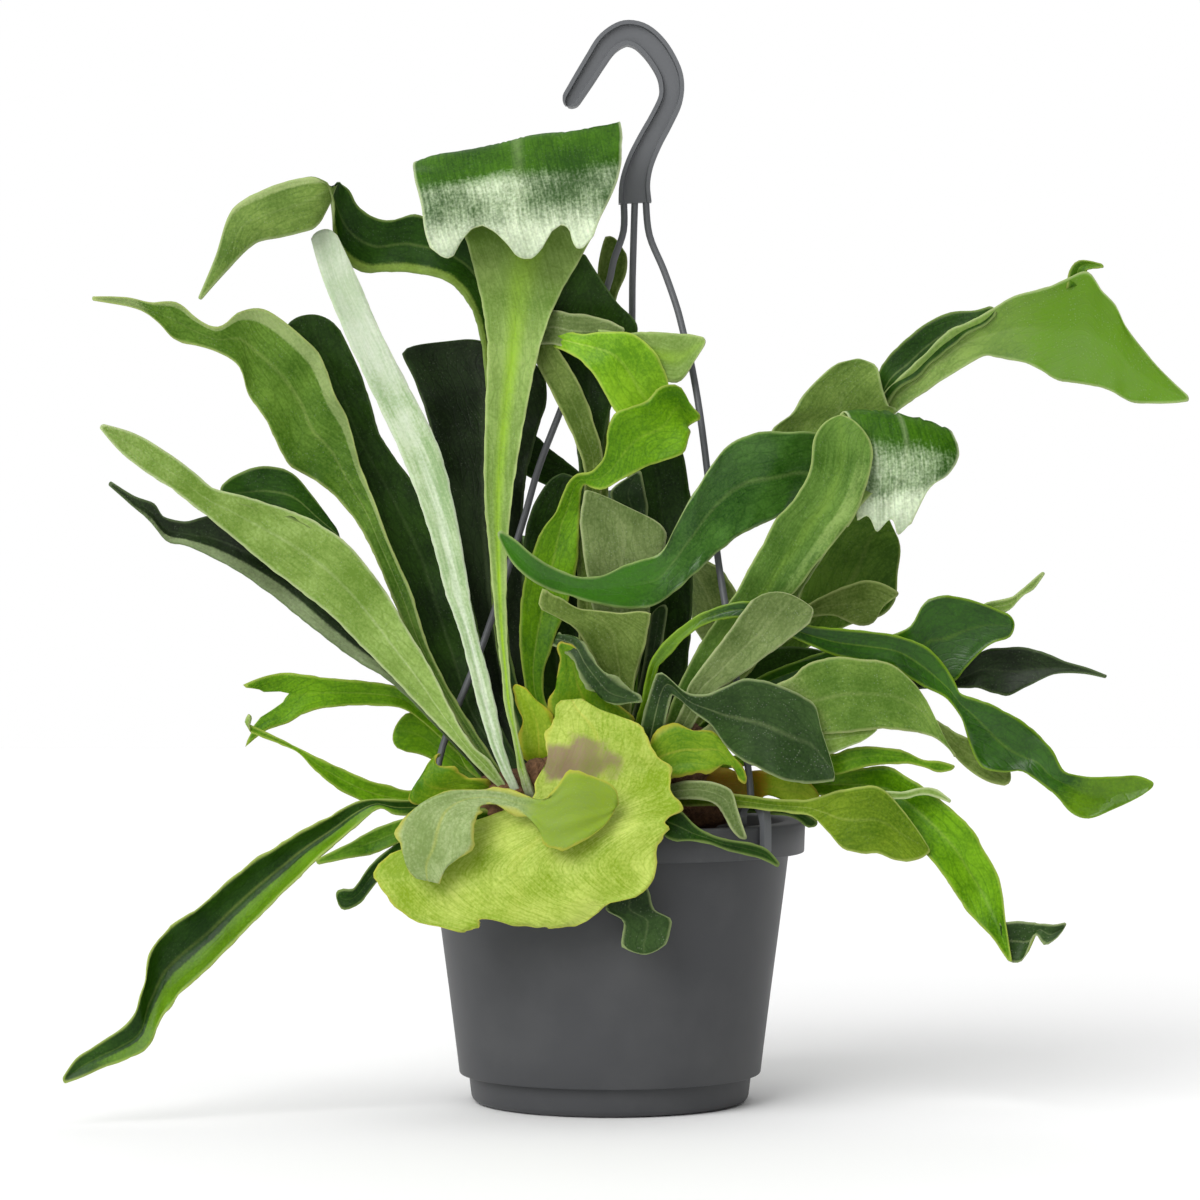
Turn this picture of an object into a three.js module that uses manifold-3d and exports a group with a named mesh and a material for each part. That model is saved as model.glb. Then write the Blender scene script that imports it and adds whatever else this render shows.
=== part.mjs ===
// Staghorn fern in a hanging nursery pot, standing on its drip tray.
// Millimetres, +Z up, origin at the middle of the tray's underside; the front looks along -Y.

import * as THREE from "three";
import { mergeVertices } from "three/addons/utils/BufferGeometryUtils.js";
import Module from "manifold-3d";

const wasm = await Module();
wasm.setup();
const { Manifold, Mesh: SolidMesh } = wasm;

// Pot, tray and soil
const RIM_RADIUS = 85;
const RIM_TOP = 122.3;
const RIM_BAND_BOTTOM = 108.6;
const BODY_TOP_RADIUS = 77.8;
const BODY_FOOT_RADIUS = 65.5;
const BODY_FOOT = 12.5;
const WALL = 2.6;
const FLOOR_UNDERSIDE = 20;
const TRAY_RADIUS = 61.5;
const TRAY_TOP = 19.7;
const SOIL_TOP = 112;
const FIT_GAP = 0.3;
const ROUND_STEPS = 48;

// Hanger
const HOOK_DEPTH = 8;
const HOOK_RECESS = 2.4;
const HOOK_LIP = 1.8;
const ARM_RADIUS = 1.5;
const CLIP_WIDTH = 4.8;
const CLIP_TOP = 133;
const CLIP_BEARINGS = { left: -160.7, back: 79, right: -41.2 };

// Leaves
const BLADE_THICKNESS = 1.3;
const STALK_THICKNESS = 2.8;
const STALK_SHARE = 0.35;
const ROW_STEP = 18;
const SMOOTHING = 0.04;

// Where the outlines are read from: a level eye, the plane through the pot's axis in true size
const EYE_ACROSS = -4.36;
const EYE_UP = 218;
const EYE_DISTANCE = 1700;

const COLOURS = {
  plastic: "#434445",
  hanger: "#3a3b3d",
  soil: "#3b2a1e",
  rhizome: "#6f5037",
  upper: "#4f8a1c",
  deep: "#2f5c20",
  under: "#8b9a66",
  pale: "#a9bd8c",
  lime: "#a9c23f",
};

// Every leaf: stations from base to tip, each [across, up] of the left edge, [across, up] of the right
// edge, the depth of the middle, then how far the right edge lies behind it and a bulge to the front.
const LEAVES = {
  "frond_tall_centre": {"finish": "upper", "blades": [
    {"cols": 6, "ends": [[0, 0.99], [0.12, 1], [0.36, 0.955], [0.6, 1], [0.8, 0.955], [0.93, 1], [1, 0.99]],
     "at": [
      [-35, 132, -30, 132, -56], [-37.5, 135, -32.5, 134, -66], [-40.5, 146, -37, 146, -71],
      [-42.5, 158, -39.8, 158, -70], [-46, 172, -42, 172, -66], [-47.3, 186, -43.6, 186, -61],
      [-49.6, 205, -44.8, 205, -54], [-52.5, 236, -44.8, 236, -46], [-54.9, 266, -42.2, 266, -40],
      [-54.4, 300, -36.5, 300, -34], [-53.6, 330, -30.5, 328, -29], [-57, 352, -22.5, 350, -24],
      [-64, 378, -8, 376, -18], [-76, 400, 1.5, 402, -15], [-85.4, 409, 4.5, 426, -22],
      [-85, 401, 5.2, 414, -33], [-82.3, 390, 3, 400, -38], [-80.6, 378, -4.5, 384, -41],
      [-76, 365.5, -10, 367.5, -42]]}]},
  "frond_pale_left": {"finish": "pale", "blades": [
    {"at": [
      [-40, 130, -36, 130, -50], [-43, 135, -39, 135, -62], [-50.5, 150, -45, 150, -62],
      [-57, 170, -49, 168, -56], [-61.5, 188, -53, 186, -52], [-66, 205, -58, 204, -48],
      [-72, 222, -62, 226, -44], [-79.5, 250, -66, 250, -40], [-91, 281, -74, 283, -35],
      [-104, 309, -86.6, 309, -32], [-116, 335, -100, 335, -31], [-126, 360, -109, 356, -30],
      [-131, 378, -120.7, 381, -29]]}]},
  "frond_shade_left_centre": {"finish": "deep", "blades": [
    {"at": [
      [-34, 140, -18, 140, -20], [-55, 163, -28, 165, -4], [-64, 198, -36, 200, 2],
      [-71, 240, -38, 240, 5], [-74, 270, -37, 268, 8], [-79, 295, -32, 290, 10],
      [-85, 313, -27.5, 306, 12], [-90.6, 328, -31, 321, 13], [-76, 333, -45, 331, 14]]}]},
  "frond_upper_left": {"finish": "deep", "blades": [
    {"at": [
      [-34, 140, -28, 140, -24], [-42, 168, -36, 168, -12], [-50, 200, -44, 200, -8],
      [-53, 250, -45, 250, -8],
      [-53.5, 300, -43, 300, -10], [-58, 338, -41, 338, -13], [-70, 356, -55, 372, -13],
      [-90, 361, -82, 385.5, -12], [-108, 361, -97, 383.5, -13], [-118.5, 370, -108, 388, -17],
      [-120.3, 384, -115.5, 398, -24, 4], [-123, 399, -119, 399.5, -31, 6],
      [-130, 402.5, -123, 389, -36, 3], [-139, 401, -129, 380, -38], [-152, 396.5, -143, 376.2, -40],
      [-165, 388, -155, 373, -42], [-172, 368, -166, 362.5, -43], [-179.7, 349.5, -178.2, 348.8, -44]]}]},
  "frond_left_high": {"finish": "upper", "blades": [
    {"at": [
      [-44, 134, -40, 134, -34], [-51, 142, -47, 143, -46], [-62, 158, -58, 160, -44],
      [-74, 178, -70.5, 180, -40],
      [-86, 198, -80, 200, -36], [-95, 219, -86, 220, -33], [-104, 240, -96, 243, -31],
      [-110, 251, -103, 262, -30], [-119.7, 263, -109, 277, -29], [-129.4, 270.5, -114, 296, -29],
      [-140, 277, -120, 308, -29], [-145.5, 287, -126, 324, -29], [-151, 298, -136, 334.5, -30],
      [-158, 308, -150, 344.5, -31], [-162, 320, -161, 344, -33], [-171, 326, -171, 337, -34],
      [-181, 329, -181, 341.6, -35], [-190, 331.5, -189, 348, -36], [-197, 339, -200, 347.8, -37],
      [-206.6, 345, -211, 350, -38], [-225.8, 348.6, -225.8, 350.4, -40]]}]},
  "frond_left_shade": {"finish": "deep", "blades": [
    {"at": [
      [-42, 136, -34, 138, -26], [-67, 163, -50, 168, -14], [-80, 188, -54, 190, -10],
      [-91, 215, -59, 212, -9], [-100, 240, -66, 236, -8], [-110, 265, -81, 262, -8],
      [-119, 288, -99, 288, -8], [-128, 308, -104, 303, -8], [-137, 326, -110, 320, -8],
      [-143, 341, -121.7, 344, -8]]}]},
  "frond_left_long": {"finish": "pale", "blades": [
    {"at": [
      [-43, 131, -38.5, 130.5, -48], [-47, 135, -43.5, 135, -60], [-56.6, 143.7, -52, 147.5, -62],
      [-63, 150.8, -60, 155, -60], [-71.4, 159.6, -67, 166, -57], [-81.3, 169.8, -73, 178, -54],
      [-90.5, 179.7, -79, 190, -52], [-100, 189.5, -87, 203, -50], [-111, 200.5, -95, 217, -49],
      [-122.3, 211.8, -103, 229, -48], [-134.5, 221.5, -115, 243, -47], [-146.8, 230.7, -130, 253, -47],
      [-157, 239, -144, 258.5, -47], [-169, 249, -160, 263.5, -48], [-181, 258.5, -173, 267, -49],
      [-192, 267, -184, 276, -50], [-204, 274.8, -197, 285, -51], [-214, 283, -208, 291, -52],
      [-222.8, 293.2, -221.2, 294.9, -54]]},
    {"at": [
      [-116, 240, -121, 250, -44, 3], [-127, 247, -128.4, 261.5, -43, 3], [-136, 252, -139.6, 274, -43, 3],
      [-146, 255.5, -153, 276, -43, 3], [-156, 258, -163, 272.5, -44, 3],
      [-168, 261.5, -171, 266.5, -46, 2]]}]},
  "frond_left_low": {"finish": "deep", "blades": [
    {"at": [
      [-46, 130, -42, 132, -26], [-56, 141, -52, 144, -38], [-64, 150, -60, 154, -42],
      [-78, 165, -72, 171, -43],
      [-90, 177, -84, 185, -44], [-99.7, 185, -92, 197, -43], [-110, 191, -102, 207, -42],
      [-122.3, 200, -113, 217, -41], [-132.5, 208, -125, 228, -40], [-142.7, 216.4, -138, 240, -39],
      [-151, 222.6, -150, 247, -39], [-161, 229.7, -163, 251, -39], [-171.4, 235.4, -175, 254.5, -39],
      [-183, 241, -185, 252.3, -40], [-193, 243.5, -194.5, 254.5, -41], [-200.5, 252, -199, 260.3, -42],
      [-209, 259.5, -207.5, 263.5, -43], [-218.9, 268.2, -217.9, 270, -44]]}]},
  "frond_left_forked": {"finish": "upper", "blades": [
    {"ends": [[0, 1], [0.2, 0.97], [0.45, 0.86], [0.58, 0.84], [0.75, 0.93], [1, 1]], "cols": 5,
     "at": [
      [-44, 131, -44, 136, -24], [-61, 143, -60, 150, -20], [-66, 151, -67, 157, -19],
      [-74, 158, -75, 165, -18], [-82.5, 165.5, -84.8, 174.5, -18], [-91, 170.7, -92, 179.7, -19],
      [-105.5, 172, -102, 182.2, -20], [-120, 171.4, -118, 183.6, -22], [-132, 169, -132, 185.3, -24],
      [-141, 164, -143, 186.3, -25], [-150, 161, -153, 184, -26], [-159, 154, -160, 181, -28]]}]},
  "frond_left_blunt": {"finish": "upper", "blades": [
    {"at": [
      [-42, 130, -42, 136, -16], [-57, 138, -57, 144, -10], [-66, 141, -64, 150, -8],
      [-74, 146, -73, 158, -7], [-81, 150, -80, 165, -7], [-89, 151.7, -86, 169.5, -8],
      [-97.3, 151.2, -91, 170.6, -9]]}]},
  "frond_left_curled": {"finish": "upper", "blades": [
    {"at": [
      [-44, 126, -44, 132, -34], [-58, 127, -58, 133, -36], [-72, 128, -72, 136, -38],
      [-88, 127.5, -87, 135, -40],
      [-99.5, 127.4, -97, 137.3, -42], [-110, 131, -106.7, 140, -44], [-120, 136.5, -117, 144.7, -45],
      [-129, 144, -128, 149.6, -46], [-137, 152, -138.5, 155, -47], [-152.8, 158.5, -152, 161.5, -48],
      [-157, 161, -158.7, 165, -49], [-156, 167, -157.6, 168.6, -50]]}]},
  "frond_left_hanging": {"finish": "upper", "blades": [
    {"cols": 4,
     "at": [
      [-42, 123, -42, 129, -44], [-58, 124, -58, 130, -49], [-74, 125, -74, 131, -53],
      [-92, 124, -92, 131, -57],
      [-100, 127, -104, 131.3, -58], [-106.7, 122.6, -113, 129, -59], [-117, 114, -124, 122.6, -60, 0, -3],
      [-129, 103.6, -137, 116, -62, 0, -4], [-138.5, 94.4, -149, 108, -64, 0, -4],
      [-149.7, 83, -160, 101, -66, 0, -4], [-160, 73, -170, 92.5, -68, 0, -4],
      [-169, 63.6, -180, 83.3, -70, 0, -4], [-179.5, 53.4, -191, 75.5, -72, 0, -4],
      [-189.7, 43.6, -199.5, 66.5, -74, 0, -4], [-196, 35, -203.5, 52, -75, 0, -3],
      [-199, 27, -206.5, 40, -76], [-203, 21.5, -211, 33, -77], [-211, 17.5, -218.5, 27.7, -78],
      [-221, 14, -226, 22.7, -79], [-229, 10.3, -233, 18, -80], [-238, 7, -238.9, 9.5, -80]]}]},
  "frond_left_small": {"finish": "deep", "blades": [
    {"at": [
      [-42, 120, -42, 127, -52], [-60, 121, -58, 127.5, -60], [-74, 119, -73, 127, -64],
      [-86, 111, -84, 120, -66],
      [-96, 101, -94, 111.5, -66], [-104, 92, -104, 103, -66], [-108.5, 86, -110.5, 94, -66],
      [-115, 82.8, -113, 92, -66], [-118.8, 84.5, -120, 92.8, -65]]},
    {"at": [
      [-50, 120, -50, 126, -57, -2], [-66, 121, -66, 127.3, -63.5, -2], [-78, 118, -77, 127, -66, -2],
      [-90, 113, -90, 123, -67], [-104, 107, -103, 118, -67], [-114, 105.3, -113, 112.5, -68],
      [-127.5, 102.5, -128.5, 104.8, -68]]}]},
  "frond_centre_olive": {"finish": "under", "blades": [
    {"at": [
      [-10, 140, -3, 140, 6], [-12, 165, -4, 165, 18], [-12, 210, -3, 210, 20], [-10, 255, -1, 255, 18],
      [-9, 300, 0, 300, 14], [-7, 335, 1, 335, 11], [-5.5, 352, 3, 350, 9], [-5.2, 364, 7, 360, 8],
      [-2.5, 375.5, 7.4, 368, 7.5], [0, 378, 5, 372.5, 7]]}]},
  "frond_centre_dark": {"finish": "deep", "blades": [
    {"at": [
      [-6, 140, 2, 140, -10], [-12, 180, -5, 180, -6], [-12, 220, -5, 220, -8], [-13, 270, -4, 270, -10],
      [-18, 300, 0, 300, -12], [-26, 325, 9, 325, -13], [-26, 342, 12, 337.5, -14],
      [-21.5, 353, 3, 348, -15], [-17, 361, -5, 359.5, -15], [-12.7, 368.8, -10.8, 368.8, -15]]}]},
  "frond_centre_folded": {"finish": "deep", "blades": [
    {"at": [
      [-10, 145, -4, 145, -28], [-12, 170, -6, 170, -20], [-14, 210, -6, 210, -22], [-14, 245, -5, 245, -24],
      [-11, 272, -3, 278, -26], [-15.7, 287.8, -6.5, 294, -26], [-20.5, 298.4, -11, 307, -24],
      [-26, 309.5, -16.5, 318, -22], [-32, 321, -23, 328.5, -20], [-36, 331, -27, 339, -18]]},
    {"at": [
      [-35, 329, -33, 342, -18], [-26, 329.5, -25, 344.6, -21], [-17.6, 328, -17, 342.9, -24],
      [-11, 328, -9.4, 342.3, -25], [-4, 330, -1.2, 340, -26], [6, 334.5, 6.5, 336.5, -27]]},
    {"at": [
      [-24, 328, -22, 336, -21, 0, 1], [-18.7, 326, -12, 334, -26], [-12.5, 322, -3, 334.8, -28],
      [-7.4, 316.6, 8.9, 334.4, -30], [-3.3, 310, 17.5, 328.5, -30], [1.8, 300.8, 22.5, 321, -29],
      [10, 292, 25.5, 312, -28], [18, 289, 25, 299, -27.5]]},
    {"at": [
      [-6, 329, -5, 336, -27], [6, 326, 8, 334.5, -27.5], [13, 318, 14, 335, -27],
      [22, 314, 22, 334.8, -27], [30.5, 313.3, 30, 334.1, -27], [36.5, 321.5, 36.5, 333.7, -28],
      [41.9, 329.8, 41.2, 332.5, -29]]}]},
  "frond_centre_left": {"finish": "upper", "blades": [
    {"cols": 4,
     "at": [
      [-20, 148, -14, 148, -36], [-28, 160, -22, 160, -30], [-35, 172, -27, 170, -28],
      [-38, 186, -29, 184, -28],
      [-39.5, 202, -24.5, 200, -28], [-38.5, 220, -18, 218, -27], [-35.7, 233, -14, 236, -27],
      [-29.9, 248, -13.5, 250, -27], [-24, 256, -12.8, 260, -28], [-19.5, 267, -12.3, 266, -31],
      [-15.3, 272.5, -10.5, 268.5, -35], [-9.4, 273.6, -8, 267, -38], [-6.1, 275.8, -3, 266.2, -40],
      [-3, 280, 3.6, 269.5, -42], [-1.4, 286, 10, 273.2, -43], [-1.2, 292, 17, 276.5, -44],
      [2.1, 299.3, 25, 279.2, -44], [9, 302.3, 31.5, 281.5, -44], [16.1, 305.1, 33.7, 286, -43],
      [22, 311, 33.5, 290, -41], [30, 311.5, 33.5, 293, -38], [35, 303.5, 36, 295, -35.5],
      [39.3, 298.9, 39.3, 296.6, -34]]}]},
  "frond_centre_grey": {"finish": "under", "blades": [
    {"at": [
      [2, 146, 9, 146, -44], [0, 165, 9, 165, -36], [-1, 180, 11, 182, -35], [-5, 200, 15.5, 200, -36],
      [-10.2, 229, 20, 233, -37], [-12.4, 244, 24.5, 242, -37], [-13, 254, 22, 251, -37],
      [-11.8, 262, 4, 260.5, -36.5], [-11, 266, -8, 265.5, -36]]}]},
  "frond_centre_glossy": {"finish": "deep", "blades": [
    {"at": [
      [24, 150, 30, 148, -24], [44, 190, 51, 186, -19], [60, 224, 68, 218, -22],
      [73, 245, 84, 238, -22], [80, 254, 96, 256, -23], [80, 256, 103, 274, -25], [77, 256, 99, 288, -28],
      [74, 254.8, 90, 291.2, -31], [67.4, 251.5, 80, 291.3, -34], [60.8, 248.6, 65.2, 291.3, -37],
      [55.3, 245.3, 54.3, 287.3, -39.5], [49.9, 241, 47, 281, -41], [44.4, 236.6, 41.5, 272.5, -43],
      [40.1, 232.2, 36.5, 264.5, -45], [34.6, 227.3, 32, 257, -46], [28.5, 221.8, 27.5, 248, -47],
      [20, 215.8, 22, 238.5, -48], [11, 214.3, 14, 235.7, -49.5], [2, 214.8, 6, 233, -51],
      [-8, 216.8, -4, 228.6, -52.5], [-18, 219.8, -14, 228.4, -54], [-28, 223, -25, 232.5, -56],
      [-37, 228.5, -33.5, 237.7, -60], [-43.5, 235.5, -41.5, 244.5, -62],
      [-49.4, 246.8, -48, 248.6, -63]]}]},
  "frond_centre_cup": {"finish": "under", "blades": [
    {"ends": [[0, 1], [0.15, 0.98], [0.4, 0.93], [0.7, 0.93], [1, 1]],
     "at": [
      [-2, 148, 5, 148, -50], [0, 160, 8, 160, -48], [0, 172, 9.5, 172, -51], [-3, 184, 11.5, 186, -54],
      [-9.7, 197, 14.5, 196, -57], [-15.5, 206, 16.3, 203, -59], [-24, 211, 17, 207, -60],
      [-31, 215, 17.5, 210, -61], [-29.5, 223, 17.8, 212, -62]]}]},
  "shield_centre": {"finish": "lime", "blades": [
    {"at": [
      [-20, 150, 4, 150, -56], [-23.5, 166, 9, 165, -60], [-25.5, 174, 4, 172, -61],
      [-24, 183, -5, 181, -63], [-22, 191, -10, 189, -65], [-24, 200, -14, 198, -68]]},
    {"at": [
      [-25, 198, -22, 204, -66], [-17, 194, -14, 202.5, -68], [-14, 187, -8, 194, -70],
      [-9.5, 180, -2, 187, -71], [-4.5, 174, 3.4, 181.8, -71], [2, 172.3, 9, 179, -71],
      [8, 172.8, 12.5, 177, -71], [14.3, 173.2, 14.4, 175.2, -71]]}]},
  "shield_small": {"finish": "lime", "blades": [
    {"at": [
      [-33, 138, -23, 138, -50], [-37, 150, -24.5, 150, -60], [-38.6, 157, -23.5, 156, -62],
      [-39.2, 165, -24.4, 163.5, -62], [-41, 173, -29.8, 172.5, -61.5],
      [-42.9, 180.6, -37.5, 180.5, -60]]}]},
  "frond_centre_narrow": {"finish": "deep", "blades": [
    {"at": [
      [4, 148, 10, 148, -36], [9, 165, 15, 165, -26], [14.5, 190, 21, 190, -26], [16.5, 204, 24, 205, -26],
      [18.2, 213.5, 25.5, 217.5, -26]]}]},
  "frond_centre_blue": {"finish": "under", "blades": [
    {"at": [
      [-4, 148, 2, 148, -16], [0, 180, 7, 180, -18], [2, 200, 10, 200, -20], [2, 235, 14, 235, -21],
      [3, 255, 16.5, 256, -21], [0.2, 265.5, 15.6, 264, -22], [10.5, 273, 13.5, 275, -22]]}]},
  "frond_centre_back": {"finish": "deep", "blades": [
    {"at": [
      [8, 150, 18, 150, -10], [12, 180, 32, 180, -10], [12, 220, 36, 220, -8], [10, 250, 36, 255, -7],
      [8, 268, 34, 270, -6], [7, 279, 32, 281.5, -6], [13, 289, 28, 290, -6]]}]},
  "frond_shade_centre": {"finish": "deep", "blades": [
    {"at": [
      [-22, 142, -16, 142, -26], [-28, 170, -15, 170, -14], [-36, 205, -12, 205, -14],
      [-38, 235, -9, 238, -14],
      [-35.5, 254, -8, 256, -14], [-29, 267, -12, 268, -14], [-22.8, 273.3, -18, 273.3, -14]]}]},
  "frond_crossing": {"finish": "under", "blades": [
    {"at": [
      [0, 150, 6, 150, 20], [6, 200, 12, 200, 26], [4, 235, 10, 240, 28], [-6, 255, -1, 262, 30],
      [-18.5, 266, -13, 273.5, 30], [-29, 268.5, -25, 283, 29], [-39, 274, -34, 290, 28],
      [-46, 281, -44.5, 285, 28]]}]},
  "frond_right_pale_lobe": {"finish": "pale", "blades": [
    {"cols": 4,
     "at": [
      [22, 150, 28, 148, -18], [38, 172, 44, 170, -14], [58, 205, 64, 201, -12], [76, 245, 84, 240, -12],
      [72, 280, 100, 276, -14], [70.5, 291.8, 123.8, 298.6, -16], [79, 299.2, 121.5, 303, -17],
      [84, 307, 119.3, 308.8, -18], [90.5, 314.2, 117.8, 314.5, -18.5], [98, 320.6, 116.2, 320, -19],
      [104.6, 323.1, 111, 323.5, -19]]}]},
  "frond_right_curled": {"finish": "pale", "blades": [
    {"at": [
      [20, 152, 28, 150, -42], [28, 176, 38, 170, -52], [31, 183, 44, 178, -53], [38.4, 197.4, 56, 196, -54],
      [47, 210.5, 68, 210, -54], [55.3, 221.9, 81, 222, -54], [61, 233, 88, 231, -54],
      [66.8, 242.6, 96, 241, -54], [71.5, 252.5, 103, 249.5, -54], [78, 259.3, 108, 257, -54],
      [82.6, 265.5, 110.5, 264, -54], [86.5, 273, 112.8, 271.5, -54], [87.9, 280.7, 114.6, 279.5, -53.5],
      [88.8, 288.3, 113.4, 288, -53], [92.5, 294.5, 108.5, 294.5, -52.5], [98.5, 298.6, 102.5, 298.8, -52]]},
    {"cols": 7, "ends": [[0, 0.955], [0.17, 0.93], [0.4, 1], [0.6, 0.945], [0.85, 1], [1, 0.96]],
     "at": [
      [88, 256, 104, 250, -52.6], [94, 272, 114, 264, -48], [98, 290, 136, 278, -41],
      [101, 300, 146, 292.5, -40],
      [104, 296.5, 151, 287, -43], [106, 285, 152.2, 281, -45], [107, 272, 148, 273, -47],
      [107, 262, 139, 266, -48], [108, 249, 129, 246, -49]]}]},
  "frond_right_long": {"finish": "upper", "blades": [
    {"cols": 4,
     "at": [
      [24, 148, 30, 145, -6], [40, 170, 46, 166, -2], [58, 195, 65, 190, 0], [80, 235, 88, 229, 2],
      [100, 270, 110, 262, 0],
      [113, 294, 119, 288, -4], [119.4, 308.2, 124.5, 299.2, -8], [129, 317.7, 135.4, 307.2, -12],
      [139.2, 327.4, 145, 313.8, -15], [148.2, 336, 154, 319.3, -18], [156.5, 339.4, 162.9, 324.2, -20],
      [167.4, 345.4, 170, 323.4, -22], [176.4, 350.8, 178, 322, -24], [187, 353.4, 186, 319.4, -27],
      [197, 357, 194, 314.2, -30], [207.8, 361.3, 204.6, 312.3, -33], [214, 353.6, 213, 310.9, -36],
      [220, 347, 219.5, 308.5, -38], [226, 336, 227, 304.3, -40], [235.4, 323.8, 237, 303.6, -42],
      [244.4, 314.2, 246, 303.8, -44], [252.3, 307, 252.3, 304.6, -46]]},
    {"at": [
      [116, 306, 119, 300, -7, -3], [118, 319, 126, 310, -9, -3], [124.5, 327.4, 134, 315, -11, -3],
      [131, 333, 141, 322, -13, -3], [139.2, 339.5, 149, 328, -16, -3], [149.5, 343.3, 156, 334, -18, -3],
      [160, 344.5, 164, 338, -20, -2], [167, 346.5, 169, 343, -22, -1]]},
    {"at": [
      [199, 354, 209, 357, -31, 0], [200.5, 362, 208, 361.5, -32], [204, 366, 209.8, 362.2, -32],
      [209, 366, 212, 362.6, -33], [214.8, 364.6, 215.4, 362.8, -34]]}]},
  "frond_right_shade": {"finish": "deep", "blades": [
    {"cols": 4,
     "at": [
      [26, 146, 34, 142, 0], [46, 172, 54, 167, 4], [62, 195, 74, 188, 8], [80, 215, 100, 205, 12],
      [86, 232, 117, 210.5, 14], [92, 245, 124, 217, 15], [99, 254, 125.5, 230, 16],
      [108, 260, 126.6, 241, 16], [118, 260, 123.5, 251, 16]]}]},
  "frond_right_twisted": {"finish": "under", "blades": [
    {"at": [
      [24, 150, 29, 147, -30], [40, 170, 44, 166, -26.5], [56, 190, 60, 185, -27], [70, 205, 72, 200, -29],
      [84, 214.5, 86, 209.5, -28], [93.4, 220.2, 97, 211, -28], [106.8, 225.5, 108, 207, -28],
      [113, 226.7, 115, 208, -28], [120, 224.8, 119, 215, -27], [125.9, 221.4, 125.5, 219.8, -26]]}]},
  "frond_right_grey": {"finish": "under", "blades": [
    {"at": [
      [22, 154, 29, 150, -50], [31, 170, 38, 166, -63], [34, 180, 44, 176.5, -65], [40, 189, 54, 183, -66],
      [47, 198, 64, 190.5, -67], [54, 207.5, 75, 198.5, -67.5], [60.6, 216.6, 86, 207, -68],
      [65.5, 222.5, 92, 212.5, -68], [69.3, 226.3, 95.5, 211.4, -68]]}]},
  "frond_right_fill": {"finish": "deep", "blades": [
    {"at": [
      [28, 150, 34, 143, -12], [42, 175, 52, 165, -7.5], [55, 190, 68, 172, -6.5], [70, 197, 84, 178, -6.5],
      [88, 197, 96, 182, -6.5], [99, 193, 101, 187, -6.5]]}]},
  "frond_right_arching": {"finish": "upper", "blades": [
    {"at": [
      [4, 148, 9, 148, -47], [12, 168, 17, 166, -53], [16, 186, 20.5, 187, -58],
      [18.2, 192.5, 23.7, 191.4, -59],
      [24, 200.2, 28.5, 196.8, -60], [31.3, 206.6, 33.5, 202, -61], [39, 211.8, 40, 206.5, -62],
      [49.9, 216, 48.8, 209.5, -63], [60, 217.5, 58, 210, -64], [70, 215, 67, 206.5, -64],
      [78, 210.5, 76, 203, -63], [86.3, 207.2, 85.2, 199, -62], [99.4, 205.6, 98.3, 193.6, -61],
      [115.7, 204.2, 112, 191, -61], [128.8, 201.5, 122, 189.5, -61], [139.1, 196.8, 130, 184, -61],
      [146.2, 189.2, 138, 179.5, -61], [150.6, 181.6, 146, 175.5, -61], [153.5, 177, 152, 168.5, -62],
      [160.4, 174.7, 154.6, 162.5, -63], [168, 171.8, 156.5, 156, -64], [176, 167.4, 159, 149.5, -65],
      [184, 162, 163, 144.5, -66], [190, 156.2, 171, 143, -67], [194, 150.8, 179, 143.5, -68],
      [198, 143.5, 187, 138.5, -69], [205, 141.5, 194, 133, -69.5], [213, 140.8, 200.2, 126, -70],
      [222.5, 141.3, 208, 122.6, -70], [230, 141.4, 219, 126.5, -70], [235.5, 139.5, 230.5, 132, -70],
      [237.2, 138, 236.4, 136, -70]]}]},
  "frond_right_dark_tip": {"finish": "under", "blades": [
    {"at": [
      [24, 150, 27, 145, -37], [45, 163, 47, 157, -39], [70, 171, 71, 163, -41.5], [95, 176, 96, 167, -47],
      [122, 174, 122, 165, -52], [138, 168, 137, 161, -55], [146, 163.5, 145, 157, -56],
      [152, 159.5, 151, 149, -56.5], [158, 157, 157, 143.5, -57], [166, 152, 165, 138.6, -58],
      [175, 145, 174.8, 136.5, -59]]}]},
  "frond_right_broad": {"finish": "upper", "blades": [
    {"cols": 5,
     "at": [
      [24, 146, 27, 139, -50], [38, 160, 42, 152, -62], [54, 171, 58, 158, -65],
      [70, 180, 74, 159, -68], [80, 184.9, 86, 159.5, -69.5], [86.3, 190.3, 99.4, 159.8, -70],
      [98.3, 193.2, 110, 161, -70.5], [110, 192.2, 120, 161.7, -71], [121.7, 190.5, 128, 161, -71],
      [131, 183.5, 135.3, 159.8, -71], [137.5, 175.1, 140.8, 158.2, -71], [143, 164.2, 145.1, 155.4, -71],
      [147.3, 155.4, 148.5, 152, -71], [150.9, 150.6, 150.2, 149.2, -71]]},
    {"at": [
      [76, 150, 76, 165, -67], [88, 150, 88, 164, -67.5], [96, 150.8, 96, 164, -67.5],
      [104, 154, 108, 164, -67.5],
      [112, 157, 119, 163.5, -68]]}]},
  "frond_right_dark_pointed": {"finish": "deep", "blades": [
    {"at": [
      [28, 150, 33, 145, -24], [48, 166, 52, 160, -26], [75, 178, 78, 171, -30], [105, 186, 107, 178, -32],
      [130, 189, 131, 179, -34], [148, 187, 148, 179.5, -36], [154, 190, 156, 179.5, -36],
      [162.6, 195.8, 161, 179.6, -37], [170, 197.3, 167, 177.3, -38], [180, 197.4, 174, 176.5, -39],
      [188.7, 195.4, 183, 180.8, -40], [199, 191.2, 194, 185.6, -41], [208, 188.6, 206, 185.8, -42],
      [216.8, 185.2, 216.2, 183.8, -43]]}]},
  "frond_right_dark_lobed": {"finish": "deep", "blades": [
    {"cols": 5,
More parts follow.
